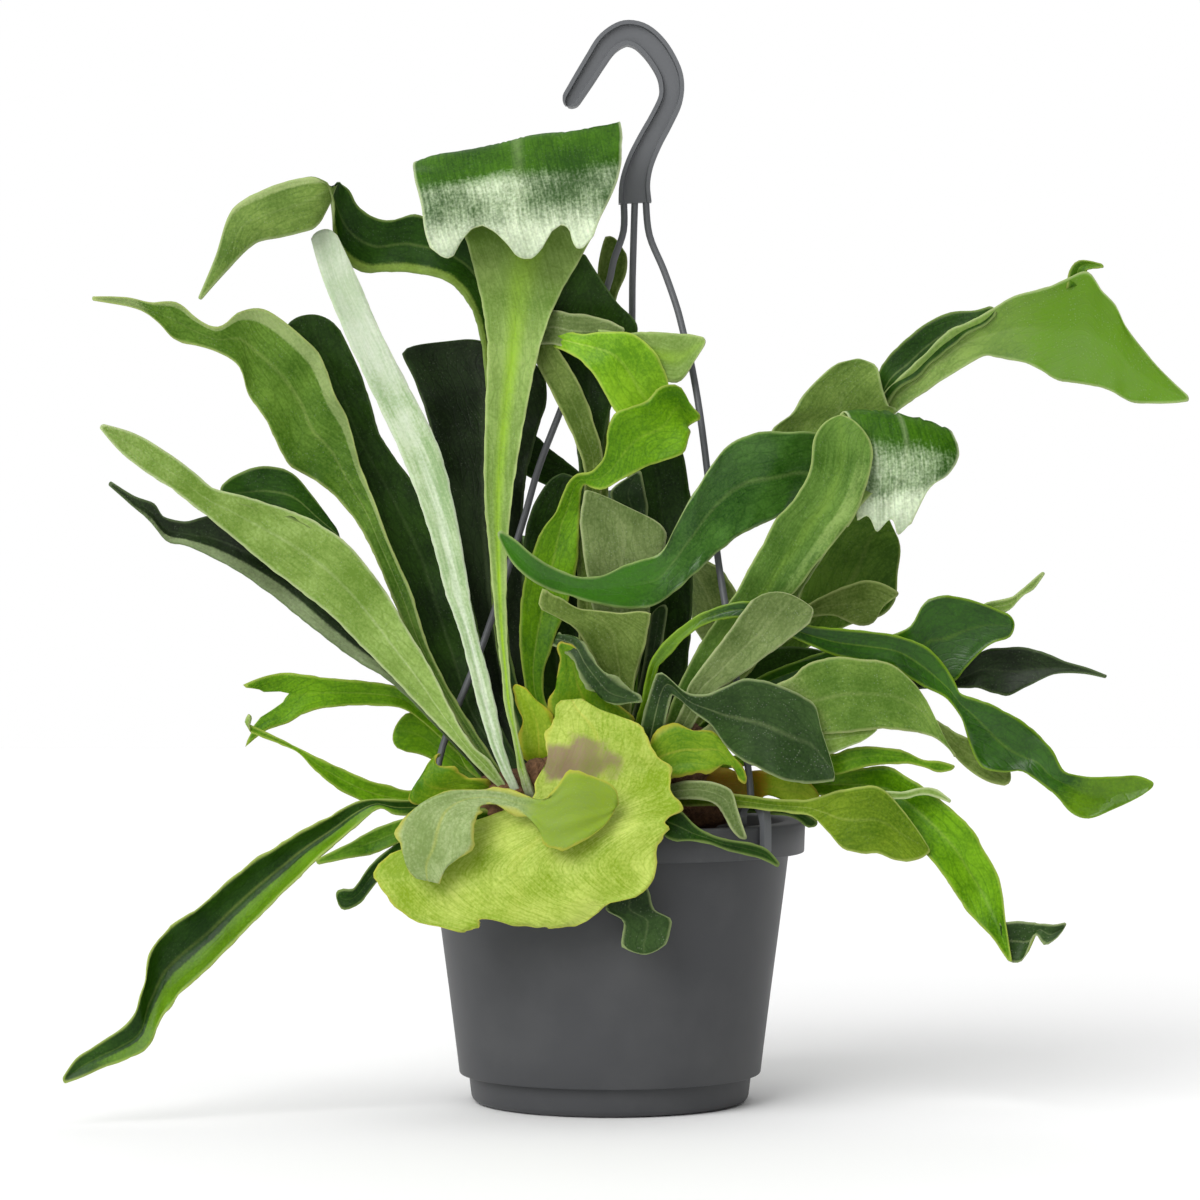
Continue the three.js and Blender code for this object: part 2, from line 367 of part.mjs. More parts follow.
     "at": [
      [26, 152, 31, 148, -34], [46, 170, 50, 166, -33], [66, 185, 70, 179, -36], [98, 197, 100, 188, -43],
      [120, 202, 124, 190, -46], [131, 207, 136, 186, -46], [136.5, 216.3, 143, 184, -46],
      [143, 219.7, 150, 182.5, -46.5], [151, 219.5, 155, 188.3, -47], [159, 217.7, 161, 194.6, -47.5],
      [166, 215.2, 167, 199.2, -48], [172.4, 212.5, 173.5, 201.2, -48.5], [175.3, 212, 177.2, 204.5, -49]]},
    {"at": [
      [158, 210, 159, 217, -47.5], [163, 211, 163, 217.5, -47.5], [168, 212, 168, 218, -47],
      [174, 213.4, 174.6, 219.2, -46], [179.2, 219, 178.2, 221.4, -45], [184.7, 222.6, 182, 225, -44],
      [187.3, 226, 185.3, 227.7, -44], [189.8, 229.6, 188.6, 230.5, -44]]}]},
  "frond_right_blunt": {"finish": "deep", "blades": [
    {"cols": 5,
     "at": [
      [11, 150, 21, 148, -56], [14, 166, 24, 163, -65], [18, 180, 27, 176, -68], [22, 186.5, 30, 175, -70],
      [33, 178, 36, 169.5, -71], [42, 177, 44, 163.5, -72], [50, 180.3, 50, 155, -73],
      [58, 183.5, 57, 148.5, -74], [67, 183, 64, 145, -74.5], [76, 180, 71, 141.5, -75],
      [84, 176.3, 78, 138.8, -75], [89.5, 172, 86, 138, -75], [92, 162.5, 92, 138.3, -75],
      [95, 153, 96, 138.8, -75], [97.8, 144, 98.2, 139, -75]]}]},
  "shield_right": {"finish": "lime", "blades": [
    {"at": [
      [10, 146, 14, 139, -58], [17, 155, 22, 142, -67], [28, 163, 32, 141.5, -69], [38, 162, 41, 143.5, -70],
      [46, 160, 49, 145, -70], [52, 153, 53.5, 143.5, -70], [57.5, 146, 55.8, 140, -69.5],
      [60, 140, 58, 138, -69]]}]},
  "shield_right_dying": {"finish": "lime", "blades": [
    {"at": [
      [26, 142, 26, 134, -40], [40, 142, 40, 134, -42], [52, 143.5, 52, 133, -43], [62, 144, 62, 132, -45],
      [70, 143, 70, 131, -49], [78, 142, 78, 128, -52], [85, 140, 84, 127, -54],
      [91.2, 134, 90.2, 130, -55]]}]},
  "frond_right_rim": {"finish": "deep", "blades": [
    {"at": [
      [20, 137, 20, 130, -30], [40, 135, 40, 127, -36], [56, 133, 56, 125.5, -39],
      [67, 131.5, 67, 124.8, -43],
      [76, 129.5, 76, 124, -47], [83, 126.5, 82, 122, -49], [88, 123.5, 86, 118.8, -50],
      [90.8, 121.6, 90, 119.2, -50]]}]},
  "frond_right_olive": {"finish": "under", "blades": [
    {"cols": 4,
     "at": [
      [28, 134, 28, 128, -50], [50, 134, 50, 128, -58], [70, 131.5, 70, 126, -62], [80, 131, 80, 125, -66],
      [86, 131, 88, 123.5, -68], [93, 133, 95, 117, -69], [100, 135, 101, 110, -70],
      [108, 136.5, 109, 107.5, -71], [115, 137, 117, 107.5, -71], [121, 134, 124, 104.5, -71],
      [128, 126, 130, 104, -71], [134, 118, 136, 105.5, -70], [138.7, 110.3, 139.7, 108.2, -69]]},
    {"at": [
      [108, 131, 109, 136.8, -70.5], [121, 131, 121, 134.8, -70], [129, 131.3, 129, 134.6, -69],
      [136, 133, 136, 136.4, -68], [142, 132, 142, 135.6, -68], [148.2, 129.4, 148.9, 130.8, -68]]}]},
  "frond_right_hanging": {"finish": "upper", "blades": [
    {"cols": 4,
     "at": [
      [30, 142, 30, 136, -30], [60, 143, 60, 136, -35], [80, 142, 80, 134, -43], [98, 143, 98, 132, -50],
      [108, 144.5, 109, 130, -54], [121, 145.5, 118, 126, -57], [131, 140, 124, 122, -60],
      [141, 133.5, 131, 115, -63], [150, 126, 138, 107, -66], [158, 118, 143, 101, -68],
      [163, 109, 148, 94, -69], [168, 101, 153, 86, -70], [171, 91, 159, 78.5, -72],
      [172.3, 80, 166, 71.5, -74], [173.8, 70, 170.5, 65, -75], [175.4, 60, 173.6, 60.6, -75]]},
    {"at": [
      [170, 77, 172, 63, -74], [177, 78, 175.5, 60, -74.5], [183, 77.6, 180, 61, -76],
      [188, 77, 185, 72, -78], [194, 76.6, 190, 67.5, -80], [199.9, 77.8, 197, 72.5, -80]]}]},
  "frond_right_thin": {"finish": "upper", "blades": [
    {"at": [
      [26, 146, 26, 141, -34], [60, 151, 60, 145.5, -40], [80, 151.5, 80, 144, -49],
      [97, 151, 98, 141.8, -59],
      [104, 153.3, 106, 143.7, -61], [112, 154.2, 114, 145.7, -61], [121, 153.6, 122, 146.2, -61],
      [129, 152, 130, 146.6, -61], [136, 148.6, 137, 145, -61], [144, 147.8, 143, 142.8, -61],
      [150.7, 145.8, 149.4, 143.8, -61]]}]},
  "frond_rim_front": {"finish": "deep", "blades": [
    {"at": [
      [-4, 140, 0, 132, -66], [8, 135, 8, 128, -74], [17, 131, 16, 122, -81], [25, 128, 22, 116, -86.5],
      [31, 126, 28, 113, -88], [37, 120, 35, 112.8, -88], [43, 116.3, 42, 112, -87],
      [50, 114, 48, 109.8, -84], [57, 112.8, 54, 108, -81], [64, 111.4, 61, 106.3, -78],
      [69, 109, 67, 104.6, -75], [74.1, 103.2, 73, 101.4, -72]]}]},
  "frond_rim_folded": {"finish": "under", "blades": [
    {"at": [
      [14, 133, 14, 126, -54], [24, 137, 24, 130, -61], [32, 139, 31, 131, -66], [40, 139.3, 39, 131, -68],
      [47, 138, 45.5, 129, -69], [53, 135, 48.5, 126, -70], [55.5, 127.5, 50.5, 122, -72],
      [58, 119.5, 54, 116.5, -73.5], [60.2, 113.6, 57, 113.6, -74]]}]},
  "shield_front": {"finish": "lime", "blades": [
    {"cols": 8, "thick": 1.8, "rowstep": 9,
     "ends": [[0, 1], [0.2, 0.985], [0.33, 0.95], [0.46, 0.985], [0.7, 1], [1, 1]],
     "at": [
      [-21, 174, -12, 174.8, -67], [-25, 169, -3, 170.5, -69], [-26, 163, 8, 166, -72],
      [-26, 157, 15, 159, -76],
      [-28, 150, 20, 150.5, -78.5], [-32, 140, 26, 144, -79.5], [-36, 131, 29, 136, -86, -2],
      [-58, 121.5, 28.5, 127, -90, -5], [-84, 112, 26, 119, -92, -6, 1], [-98, 104, 20.5, 111, -93.5, -6, 2],
      [-104, 97, 20.5, 104, -94.5, -5, 3], [-100, 91.5, 20, 97, -95.5, -4, 4],
      [-92, 83, 12, 90.5, -96, -3, 4],
      [-84, 77.5, 0, 87, -97, -2, 3], [-72, 75, -7, 79.5, -98, 0, 2], [-58, 73.4, -20, 73.8, -98]]}]},
  "shield_saddle": {"finish": "under", "blades": [
    {"cols": 4, "rowstep": 10,
     "at": [
      [-85, 97, -74, 94.5, -103], [-91, 105, -69, 101, -104], [-91.5, 113, -62, 108, -104],
      [-90, 120, -60, 117, -102],
      [-85, 128.5, -58, 124, -99], [-72, 134.5, -56.5, 126.8, -96], [-60, 136, -52, 127.8, -94],
      [-50, 135.5, -46, 127.5, -93], [-40, 133.3, -39, 125.5, -95], [-31, 133, -33.5, 119, -99],
      [-24, 135.5, -28.5, 111.5, -102], [-18, 142, -21, 109.3, -103], [-10, 142.2, -13, 112.3, -103],
      [-2, 139.5, -6, 116.3, -102], [2.5, 135.5, -1, 121, -101], [3.9, 131.5, 1.9, 126, -100]]},
    {"rowstep": 8,
     "at": [
      [-57, 131, -45, 131, -94], [-57, 132.5, -46, 132, -84], [-56, 132.5, -46, 132, -74],
      [-55, 131.5, -45, 131, -56]]}]},
  "shield_left": {"finish": "lime", "blades": [
    {"at": [
      [-52, 128, -42, 129, -50], [-64, 132, -54, 138.5, -60], [-74, 130, -62, 140.5, -62],
      [-84, 128, -68, 144, -64], [-88, 132, -74, 145.5, -64], [-83, 139, -75.5, 150.5, -63],
      [-79.5, 147.5, -73, 151, -62]]}]},
  "frond_low_front": {"finish": "deep", "blades": [
    {"stalk": 1.6,
     "at": [
      [-22, 130, -12, 130, -66], [-18, 127, -8, 127, -79], [-14, 121, -4, 121, -86.6],
      [-8, 108, 2, 108, -88.5], [0, 96, 14, 96, -89],
      [0, 89, 17.5, 90, -89], [-2, 83, 19.3, 83, -89], [5.5, 78.5, 26.5, 79, -89],
      [5.5, 73, 26.3, 73.5, -89],
      [5, 67, 24.5, 68, -89], [9, 63.5, 20.5, 63.2, -89]]}]},
};

// Fronds behind the clump: bearing from straight back, reach outwards, height of the crown and of the tip
const BACK_LEAVES = {
  "frond_back_left": {"finish": "upper", "bearing": 24, "reach": 118, "crown": 262, "tip": 176, "width": 30},
  "frond_back_middle":
    {"finish": "deep", "bearing": -2, "reach": 138, "crown": 284, "tip": 204, "width": 34},
  "frond_back_right":
    {"finish": "upper", "bearing": -26, "reach": 124, "crown": 248, "tip": 160, "width": 30},
};

// Overlapping lumps of the furry rhizome; the last two are the buds
const RHIZOME_LUMPS = [
  { centre: [-12, -30, 130], radii: [42, 42, 24] },
  { centre: [26, -30, 150], radii: [19, 38, 19] },
  { centre: [-44, -38, 134], radii: [16, 30, 12] },
  { centre: [-5, 15, 135], radii: [40, 30, 24] },
  { centre: [-10, -45, 140], radii: [26, 36, 20] },
  { centre: [-31, -62, 145], radii: [6.5, 7, 7] },
  { centre: [19, -50, 161], radii: [5, 6, 4] },
];

function place(across, up, depth) {
  const spread = (EYE_DISTANCE + depth) / EYE_DISTANCE;
  return new THREE.Vector3(
    EYE_ACROSS + (across - EYE_ACROSS) * spread,
    depth,
    EYE_UP + (up - EYE_UP) * spread,
  );
}

function between(table, position) {
  const last = table.length - 1;
  const index = Math.min(Math.max(Math.floor(position), 0), last - 1);
  const t = position - index;
  const before = table[Math.max(index - 1, 0)];
  const from = table[index];
  const to = table[index + 1];
  const after = table[Math.min(index + 2, last)];
  return from.map((value, k) => {
    const slopeIn = (to[k] - before[k]) / 2;
    const slopeOut = (after[k] - value) / 2;
    const rise = to[k] - value;
    const curve = 3 * rise - 2 * slopeIn - slopeOut + t * (slopeIn + slopeOut - 2 * rise);
    return value + t * (slopeIn + t * curve);
  });
}

function stationTable(blade) {
  return blade.at.map(([leftAcross, leftUp, rightAcross, rightUp, depth, lean = 0, bulge = 0]) => {
    const left = place(leftAcross, leftUp, depth - lean);
    const right = place(rightAcross, rightUp, depth + lean);
    return [...left.toArray(), ...right.toArray(), bulge];
  });
}

function lengthScale(table) {
  const steps = (table.length - 1) * 8;
  const marks = [{ position: 0, length: 0 }];
  let previous = null;
  for (let i = 0; i <= steps; i += 1) {
    const position = i / 8;
    const row = between(table, position);
    const middle = new THREE.Vector3(row[0] + row[3], row[1] + row[4], row[2] + row[5]).multiplyScalar(0.5);
    if (previous) {
      marks.push({ position, length: marks[marks.length - 1].length + middle.distanceTo(previous) });
    }
    previous = middle;
  }
  return marks;
}

function positionAt(marks, share) {
  const wanted = share * marks[marks.length - 1].length;
  for (let i = 1; i < marks.length; i += 1) {
    if (marks[i].length >= wanted) {
      const span = Math.max(marks[i].length - marks[i - 1].length, 1e-9);
      const t = (wanted - marks[i - 1].length) / span;
      return marks[i - 1].position + t * (marks[i].position - marks[i - 1].position);
    }
  }
  return marks[marks.length - 1].position;
}

function profileAt(profile, across) {
  for (let i = 1; i < profile.length; i += 1) {
    if (across <= profile[i][0]) {
      const t = (across - profile[i - 1][0]) / (profile[i][0] - profile[i - 1][0]);
      return profile[i - 1][1] + t * (profile[i][1] - profile[i - 1][1]);
    }
  }
  return profile[profile.length - 1][1];
}

function bladeGrid(blade) {
  const table = stationTable(blade);
  const marks = lengthScale(table);
  const length = marks[marks.length - 1].length;
  const rows = Math.max(5, Math.round(length / (blade.rowstep ?? ROW_STEP)));
  const cols = blade.cols ?? 3;
  const grid = [];
  for (let i = 0; i <= rows; i += 1) {
    const line = [];
    for (let j = 0; j <= cols; j += 1) {
      const s = j / cols;
      const end = blade.ends ? profileAt(blade.ends, s) : 1;
      const row = between(table, positionAt(marks, (end * i) / rows));
      const left = new THREE.Vector3(row[0], row[1], row[2]);
      const right = new THREE.Vector3(row[3], row[4], row[5]);
      const point = left.lerp(right, s);
      point.y -= row[6] * (1 - (2 * s - 1) ** 2);
      line.push(point);
    }
    grid.push(line);
  }
  return grid;
}

function gridNormals(grid) {
  const rows = grid.length - 1;
  const cols = grid[0].length - 1;
  return grid.map((line, i) => line.map((point, j) => {
    const along = grid[Math.min(i + 1, rows)][j].clone().sub(grid[Math.max(i - 1, 0)][j]);
    const across = line[Math.min(j + 1, cols)].clone().sub(line[Math.max(j - 1, 0)]);
    return along.cross(across).normalize();
  }));
}

function solidFromTriangles(points, triangles) {
  let volume = 0;
  for (const [a, b, c] of triangles) {
    volume += points[a].dot(points[b].clone().cross(points[c]));
  }
  const wound = volume < 0 ? triangles.map(([a, b, c]) => [a, c, b]) : triangles;
  const mesh = new SolidMesh({
    numProp: 3,
    vertProperties: new Float32Array(points.flatMap((p) => [p.x, p.y, p.z])),
    triVerts: new Uint32Array(wound.flat()),
  });
  return new Manifold(mesh);
}

function solidFromGeometry(geometry) {
  const bare = new THREE.BufferGeometry();
  bare.setAttribute("position", geometry.getAttribute("position"));
  if (geometry.index) {
    bare.setIndex(geometry.index);
  }
  const welded = mergeVertices(bare, 1e-3);
  const position = welded.getAttribute("position");
  const points = [];
  for (let i = 0; i < position.count; i += 1) {
    points.push(new THREE.Vector3().fromBufferAttribute(position, i));
  }
  const triangles = [];
  for (let i = 0; i < welded.index.count; i += 3) {
    const corner = [welded.index.getX(i), welded.index.getX(i + 1), welded.index.getX(i + 2)];
    if (new Set(corner).size === 3) {
      triangles.push(corner);
    }
  }
  return solidFromTriangles(points, triangles);
}

// Thick stalk at the base, thinning to the blade
function stalkTaper(stalk) {
  return (share) => stalk + (BLADE_THICKNESS - stalk) * Math.min(share / STALK_SHARE, 1);
}

// A closed shell over a grid of points, as thick at each share of its length as thicknessAt says
function sheetSolid(grid, thicknessAt) {
  const normals = gridNormals(grid);
  const rows = grid.length - 1;
  const cols = grid[0].length - 1;
  const points = [];
  for (const side of [-0.5, 0.5]) {
    for (let i = 0; i <= rows; i += 1) {
      const thickness = thicknessAt(i / rows);
      for (let j = 0; j <= cols; j += 1) {
        points.push(grid[i][j].clone().addScaledVector(normals[i][j], side * thickness));
      }
    }
  }
  const at = (side, i, j) => (side * (rows + 1) + i) * (cols + 1) + j;
  const triangles = [];
  for (let i = 0; i < rows; i += 1) {
    for (let j = 0; j < cols; j += 1) {
      triangles.push([at(0, i, j), at(0, i + 1, j), at(0, i + 1, j + 1)]);
      triangles.push([at(0, i, j), at(0, i + 1, j + 1), at(0, i, j + 1)]);
      triangles.push([at(1, i, j), at(1, i + 1, j + 1), at(1, i + 1, j)]);
      triangles.push([at(1, i, j), at(1, i, j + 1), at(1, i + 1, j + 1)]);
    }
  }
  for (let i = 0; i < rows; i += 1) {
    triangles.push([at(0, i, 0), at(1, i, 0), at(1, i + 1, 0)]);
    triangles.push([at(0, i, 0), at(1, i + 1, 0), at(0, i + 1, 0)]);
    triangles.push([at(0, i, cols), at(0, i + 1, cols), at(1, i + 1, cols)]);
    triangles.push([at(0, i, cols), at(1, i + 1, cols), at(1, i, cols)]);
  }
  for (let j = 0; j < cols; j += 1) {
    triangles.push([at(0, 0, j), at(0, 0, j + 1), at(1, 0, j + 1)]);
    triangles.push([at(0, 0, j), at(1, 0, j + 1), at(1, 0, j)]);
    triangles.push([at(0, rows, j), at(1, rows, j + 1), at(0, rows, j + 1)]);
    triangles.push([at(0, rows, j), at(1, rows, j), at(1, rows, j + 1)]);
  }
  return solidFromTriangles(points, triangles);
}

function bladeSolid(blade) {
  const taper = stalkTaper(blade.stalk ?? STALK_THICKNESS);
  return sheetSolid(bladeGrid(blade), (share) => blade.thick ?? taper(share));
}

function joined(solids) {
  return solids.reduce((sum, solid) => sum.add(solid));
}

function largestBody(solid) {
  const bodies = solid.decompose();
  return bodies.reduce((best, body) => (body.volume() > best.volume() ? body : best));
}

function leafSolid({ blades }) {
  return joined(blades.map(bladeSolid));
}

// A frond rising from the back of the clump and arching over to a drooping tip
function backLeafSolid({ bearing, reach, crown, tip, width }) {
  const turn = THREE.MathUtils.degToRad(bearing);
  const out = new THREE.Vector3(-Math.sin(turn), Math.cos(turn), 0);
  const side = new THREE.Vector3(Math.cos(turn), Math.sin(turn), 0);
  const start = new THREE.Vector3(-4, 30, 138).addScaledVector(side, -bearing * 0.5);
  const path = new THREE.CubicBezierCurve3(
    start,
    start.clone().addScaledVector(out, reach * 0.12).setZ(crown - 8),
    start.clone().addScaledVector(out, reach * 0.62).setZ(crown + 34),
    start.clone().addScaledVector(out, reach).setZ(tip),
  );
  const rows = 12;
  const cols = 3;
  const widthShares = [[0, 0.2], [0.25, 0.26], [0.5, 0.55], [0.75, 1], [1, 0.12]];
  const grid = [];
  for (let i = 0; i <= rows; i += 1) {
    const t = i / rows;
    const middle = path.getPointAt(t);
    const half = (width / 2) * profileAt(widthShares, t);
    const line = [];
    for (let j = 0; j <= cols; j += 1) {
      const s = (2 * j) / cols - 1;
      const point = middle.clone().addScaledVector(side, s * half);
      point.z += 0.1 * half * s * s;
      line.push(point);
    }
    grid.push(line);
  }
  return sheetSolid(grid, stalkTaper(STALK_THICKNESS));
}

function turned(profile) {
  const points = profile.map(([radius, height]) => new THREE.Vector2(radius, height));
  const geometry = new THREE.LatheGeometry(points, ROUND_STEPS);
  geometry.rotateX(Math.PI / 2);
  return solidFromGeometry(geometry);
}

function traySolid() {
  return turned([
    [0, 0], [57, 0], [59.4, 0.9], [60.4, 3], [TRAY_RADIUS, 12.2], [TRAY_RADIUS, TRAY_TOP],
    [58.6, TRAY_TOP], [57.4, 5.4], [54, 3.4], [0, 3.4],
  ]);
}

function potSolid() {
  const lip = RIM_RADIUS - 8.5;
  return turned([
    [0, FLOOR_UNDERSIDE], [62.6, FLOOR_UNDERSIDE], [62.6, BODY_FOOT], [BODY_FOOT_RADIUS, BODY_FOOT],
    [BODY_TOP_RADIUS, RIM_BAND_BOTTOM - 0.6], [79.2, 119.6], [82.4, 119.6], [82.4, RIM_BAND_BOTTOM],
    [84.6, RIM_BAND_BOTTOM], [RIM_RADIUS, RIM_TOP - 0.8], [RIM_RADIUS - 0.8, RIM_TOP], [lip, RIM_TOP],
    [lip - 1, RIM_TOP - 1], [BODY_TOP_RADIUS - WALL, RIM_BAND_BOTTOM], [63.9, FLOOR_UNDERSIDE + WALL],
    [0, FLOOR_UNDERSIDE + WALL],
  ]);
}

function soilSolid(rhizomeRoom) {
  const bottom = FLOOR_UNDERSIDE + WALL + FIT_GAP;
  const fill = turned([
    [0, bottom], [63.4, bottom], [BODY_TOP_RADIUS - WALL - 0.6, RIM_BAND_BOTTOM],
    [BODY_TOP_RADIUS - WALL - 0.4, SOIL_TOP - 1], [72, SOIL_TOP], [0, SOIL_TOP + 1],
  ]);
  return largestBody(fill.subtract(rhizomeRoom));
}

function rhizomeSolid(extra) {
  return joined(RHIZOME_LUMPS.map(({ centre, radii }) => {
    const lump = new THREE.IcosahedronGeometry(1, 2);
    lump.scale(radii[0] + extra, radii[1] + extra, radii[2] + extra);
    lump.translate(...centre);
    return solidFromGeometry(lump);
  }));
}

// Hook: middle line and half width, drawn in the across-up plane
const HOOK_LINE = [
  [-16.6, 436.6, 4.1], [-11.2, 445.2, 4.5], [-6.2, 453.2, 4.7], [-1.8, 459.7, 5], [3.2, 463.6, 5.2],
  [8, 465, 5.4], [14, 463.2, 5.7], [19.8, 457.8, 5.8], [24.6, 450.2, 5.6], [26.7, 443.6, 5.5],
  [26.3, 436, 5.3], [22.2, 427, 5.3], [17.4, 418.2, 5.5], [13, 408.4, 6], [10.8, 399, 6.7], [10.9, 391, 7.2],
];

const ARMS = {
  left: [
    [6, 392], [5.9, 379], [1.8, 366.6], [-1, 355], [-10.5, 329], [-21, 302], [-31, 276], [-38.6, 250],
    [-55, 200], [-71, 160], [-76, 140], [-76.8, 131],
  ],
  back: [
    [10.8, 392], [10, 365], [9.7, 348], [9.7, 300], [11, 250], [12.5, 200], [14, 160], [15, 140],
    [15.5, 127.5],
  ],
  right: [
    [15.6, 392], [17.2, 377], [23.5, 361.7], [29, 346], [32, 334.6], [35.6, 320], [40.2, 292], [47.2, 235],
    [53, 200], [57.3, 165], [60.7, 141], [61.5, 129.5],
  ],
};

function hookOutline(inset) {
  const line = HOOK_LINE.map(([across, up]) => new THREE.Vector2(across, up));
  const outer = [];
  const inner = [];
  line.forEach((point, i) => {
    const next = line[Math.min(i + 1, line.length - 1)];
    const along = next.clone().sub(line[Math.max(i - 1, 0)]).normalize();
    const half = HOOK_LINE[i][2] - inset;
    const offset = new THREE.Vector2(-along.y, along.x).multiplyScalar(half);
    outer.push(point.clone().add(offset));
    inner.push(point.clone().sub(offset));
  });
  const back = line[0].clone().sub(line[1]).normalize().multiplyScalar(HOOK_LINE[0][2] - inset);
  const round = [0.9, 0, -0.9].map((swing) => (
    line[0].clone().add(back.clone().rotateAround(new THREE.Vector2(), swing))
  ));
  if (inset > 0) {
    outer[outer.length - 1].y += inset;
    inner[inner.length - 1].y += inset;
  }
  return new THREE.Shape([...outer, ...inner.reverse(), ...round]);
}

function slab(shape, thickness, middle) {
  const geometry = new THREE.ExtrudeGeometry(shape, { depth: thickness, bevelEnabled: false, steps: 1 });
  geometry.rotateX(Math.PI / 2);
  geometry.translate(0, middle + thickness / 2, 0);
  return solidFromGeometry(geometry);
}

function armSolid(points, clipDepth) {
  const topUp = 389;
  const path = new THREE.CatmullRomCurve3(points.map(([across, up]) => {
    const share = Math.min(Math.max((topUp - up) / (topUp - CLIP_TOP), 0), 1);
    return place(across, up, clipDepth * share);
  }));
  const ring = new THREE.Shape([0, 1, 2, 3, 4, 5, 6, 7].map((k) => (
    new THREE.Vector2(ARM_RADIUS, 0).rotateAround(new THREE.Vector2(), (k * Math.PI) / 4)
  )));
  const geometry = new THREE.ExtrudeGeometry(ring, { extrudePath: path, steps: 16, bevelEnabled: false });
  return solidFromGeometry(geometry);
}

// Clip: an arch from inside the pot over the lip and down outside the rim band
function clipSolid(bearing) {
  const arch = new THREE.Shape([
    [72.2, 114.6], [72.2, 127], [73.4, 131], [76.4, 133.6], [81, 134], [85, 132.4], [87.6, 128.6],
    [88.2, 124], [88.2, 112.4], [87.4, 110.4], [85.9, 110.4], [85.6, 112], [85.6, 124], [84.6, 127.4],
    [82.6, 130], [80, 131], [77, 130.6], [75.2, 128.4], [74.8, 126], [74.8, 114.6],
  ].map(([radius, height]) => new THREE.Vector2(radius, height)));
  return slab(arch, CLIP_WIDTH, 0).rotate([0, 0, bearing]);
}

function hangerSolid() {
  const parts = [slab(hookOutline(0), HOOK_DEPTH, 0)];
  for (const [side, points] of Object.entries(ARMS)) {
    const bearing = THREE.MathUtils.degToRad(CLIP_BEARINGS[side]);
    parts.push(armSolid(points, 80 * Math.sin(bearing)));
    parts.push(clipSolid(CLIP_BEARINGS[side]));
  }
  const body = joined(parts);
  const recess = slab(hookOutline(HOOK_LIP), HOOK_RECESS * 2, -HOOK_DEPTH / 2);
  const otherRecess = slab(hookOutline(HOOK_LIP), HOOK_RECESS * 2, HOOK_DEPTH / 2);
  return largestBody(body.subtract(recess).subtract(otherRecess));
}

function meshFrom(name, solid, colour, roughness, metalness) {
  const { vertProperties, triVerts } = solid.getMesh();
  const geometry = new THREE.BufferGeometry();
  geometry.setAttribute("position", new THREE.BufferAttribute(new Float32Array(vertProperties), 3));
  geometry.setIndex(new THREE.BufferAttribute(new Uint32Array(triVerts), 1));
  geometry.computeVertexNormals();
  const mesh = new THREE.Mesh(
    geometry,
    new THREE.MeshStandardMaterial({ color: colour, roughness, metalness, flatShading: true }),
  );
  mesh.name = name;
  return mesh;
}

const rhizomeRoom = rhizomeSolid(FIT_GAP);
const clump = new THREE.Group();
clump.name = "staghorn_fern_in_hanging_pot";
clump.add(meshFrom("tray", traySolid(), COLOURS.plastic, 0.6, 0));
clump.add(meshFrom("pot", potSolid(), COLOURS.plastic, 0.6, 0));
clump.add(meshFrom("soil", soilSolid(rhizomeRoom), COLOURS.soil, 0.95, 0));
clump.add(meshFrom("rhizome", rhizomeSolid(0), COLOURS.rhizome, 0.9, 0));
clump.add(meshFrom("hanger", hangerSolid().simplify(SMOOTHING), COLOURS.hanger, 0.45, 0));

for (const [name, leaf] of [...Object.entries(LEAVES), ...Object.entries(BACK_LEAVES)]) {
  const grown = leaf.blades ? leafSolid(leaf) : backLeafSolid(leaf);
  const seated = largestBody(grown.subtract(rhizomeRoom)).simplify(SMOOTHING);
  clump.add(meshFrom(name, seated, COLOURS[leaf.finish], 0.6, 0));
}

export default clump;
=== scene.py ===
import math

import bmesh
import bpy
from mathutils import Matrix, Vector, noise


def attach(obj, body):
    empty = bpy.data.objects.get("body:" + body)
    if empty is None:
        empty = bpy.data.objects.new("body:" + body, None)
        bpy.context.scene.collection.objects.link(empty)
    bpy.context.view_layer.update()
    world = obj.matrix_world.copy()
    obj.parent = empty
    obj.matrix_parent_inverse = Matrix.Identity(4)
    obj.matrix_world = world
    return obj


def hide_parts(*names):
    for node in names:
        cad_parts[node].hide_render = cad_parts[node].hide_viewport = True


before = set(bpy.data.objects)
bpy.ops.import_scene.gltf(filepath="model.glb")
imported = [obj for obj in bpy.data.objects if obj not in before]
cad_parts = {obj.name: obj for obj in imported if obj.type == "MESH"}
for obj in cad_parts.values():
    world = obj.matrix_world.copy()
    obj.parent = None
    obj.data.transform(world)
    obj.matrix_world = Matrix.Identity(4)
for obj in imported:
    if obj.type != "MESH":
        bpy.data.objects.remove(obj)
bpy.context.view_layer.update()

# Staghorn fern in a hanging nursery pot: every frond, shield and moulding in its own finish.
# Lengths are in millimetres, and MM turns them into metres where a point goes into a mesh.
MM = 0.001

# The level eye that the outlines are read from, and the width it sees at the pot's axis
EYE_ACROSS = -4.36
EYE_UP = 218
EYE_DISTANCE = 1700
VIEW_WIDTH = 523.2
SENSOR_WIDTH = 36

# Share of the white surroundings that lights the plant
AMBIENT = 0.24

# Half the floor's side and how far it lies under the tray, in metres
FLOOR_HALF = 4
FLOOR_DROP = 0.0002

# A leaf's thickness in the blade and at the stalk, the share of its length over which it thins, and
# how much thinner it is at the very margin
BLADE_THICKNESS = 1.1
STALK_THICKNESS = 2.6
STALK_SHARE = 0.35
EDGE_THINNING = 0.4

# Mesh of a blade: length of a row, width of two columns, the fewest and most of them, and how many
# points from one station to the next measure its length
ROW_LENGTH = 2
COLUMN_PAIR = 4
FEWEST_ROWS = 12
FEWEST_COLUMNS = 8
MOST_COLUMNS = 48
MARKS_A_STATION = 8

# Keeps a division by no length at all from failing
TINY = 1e-9

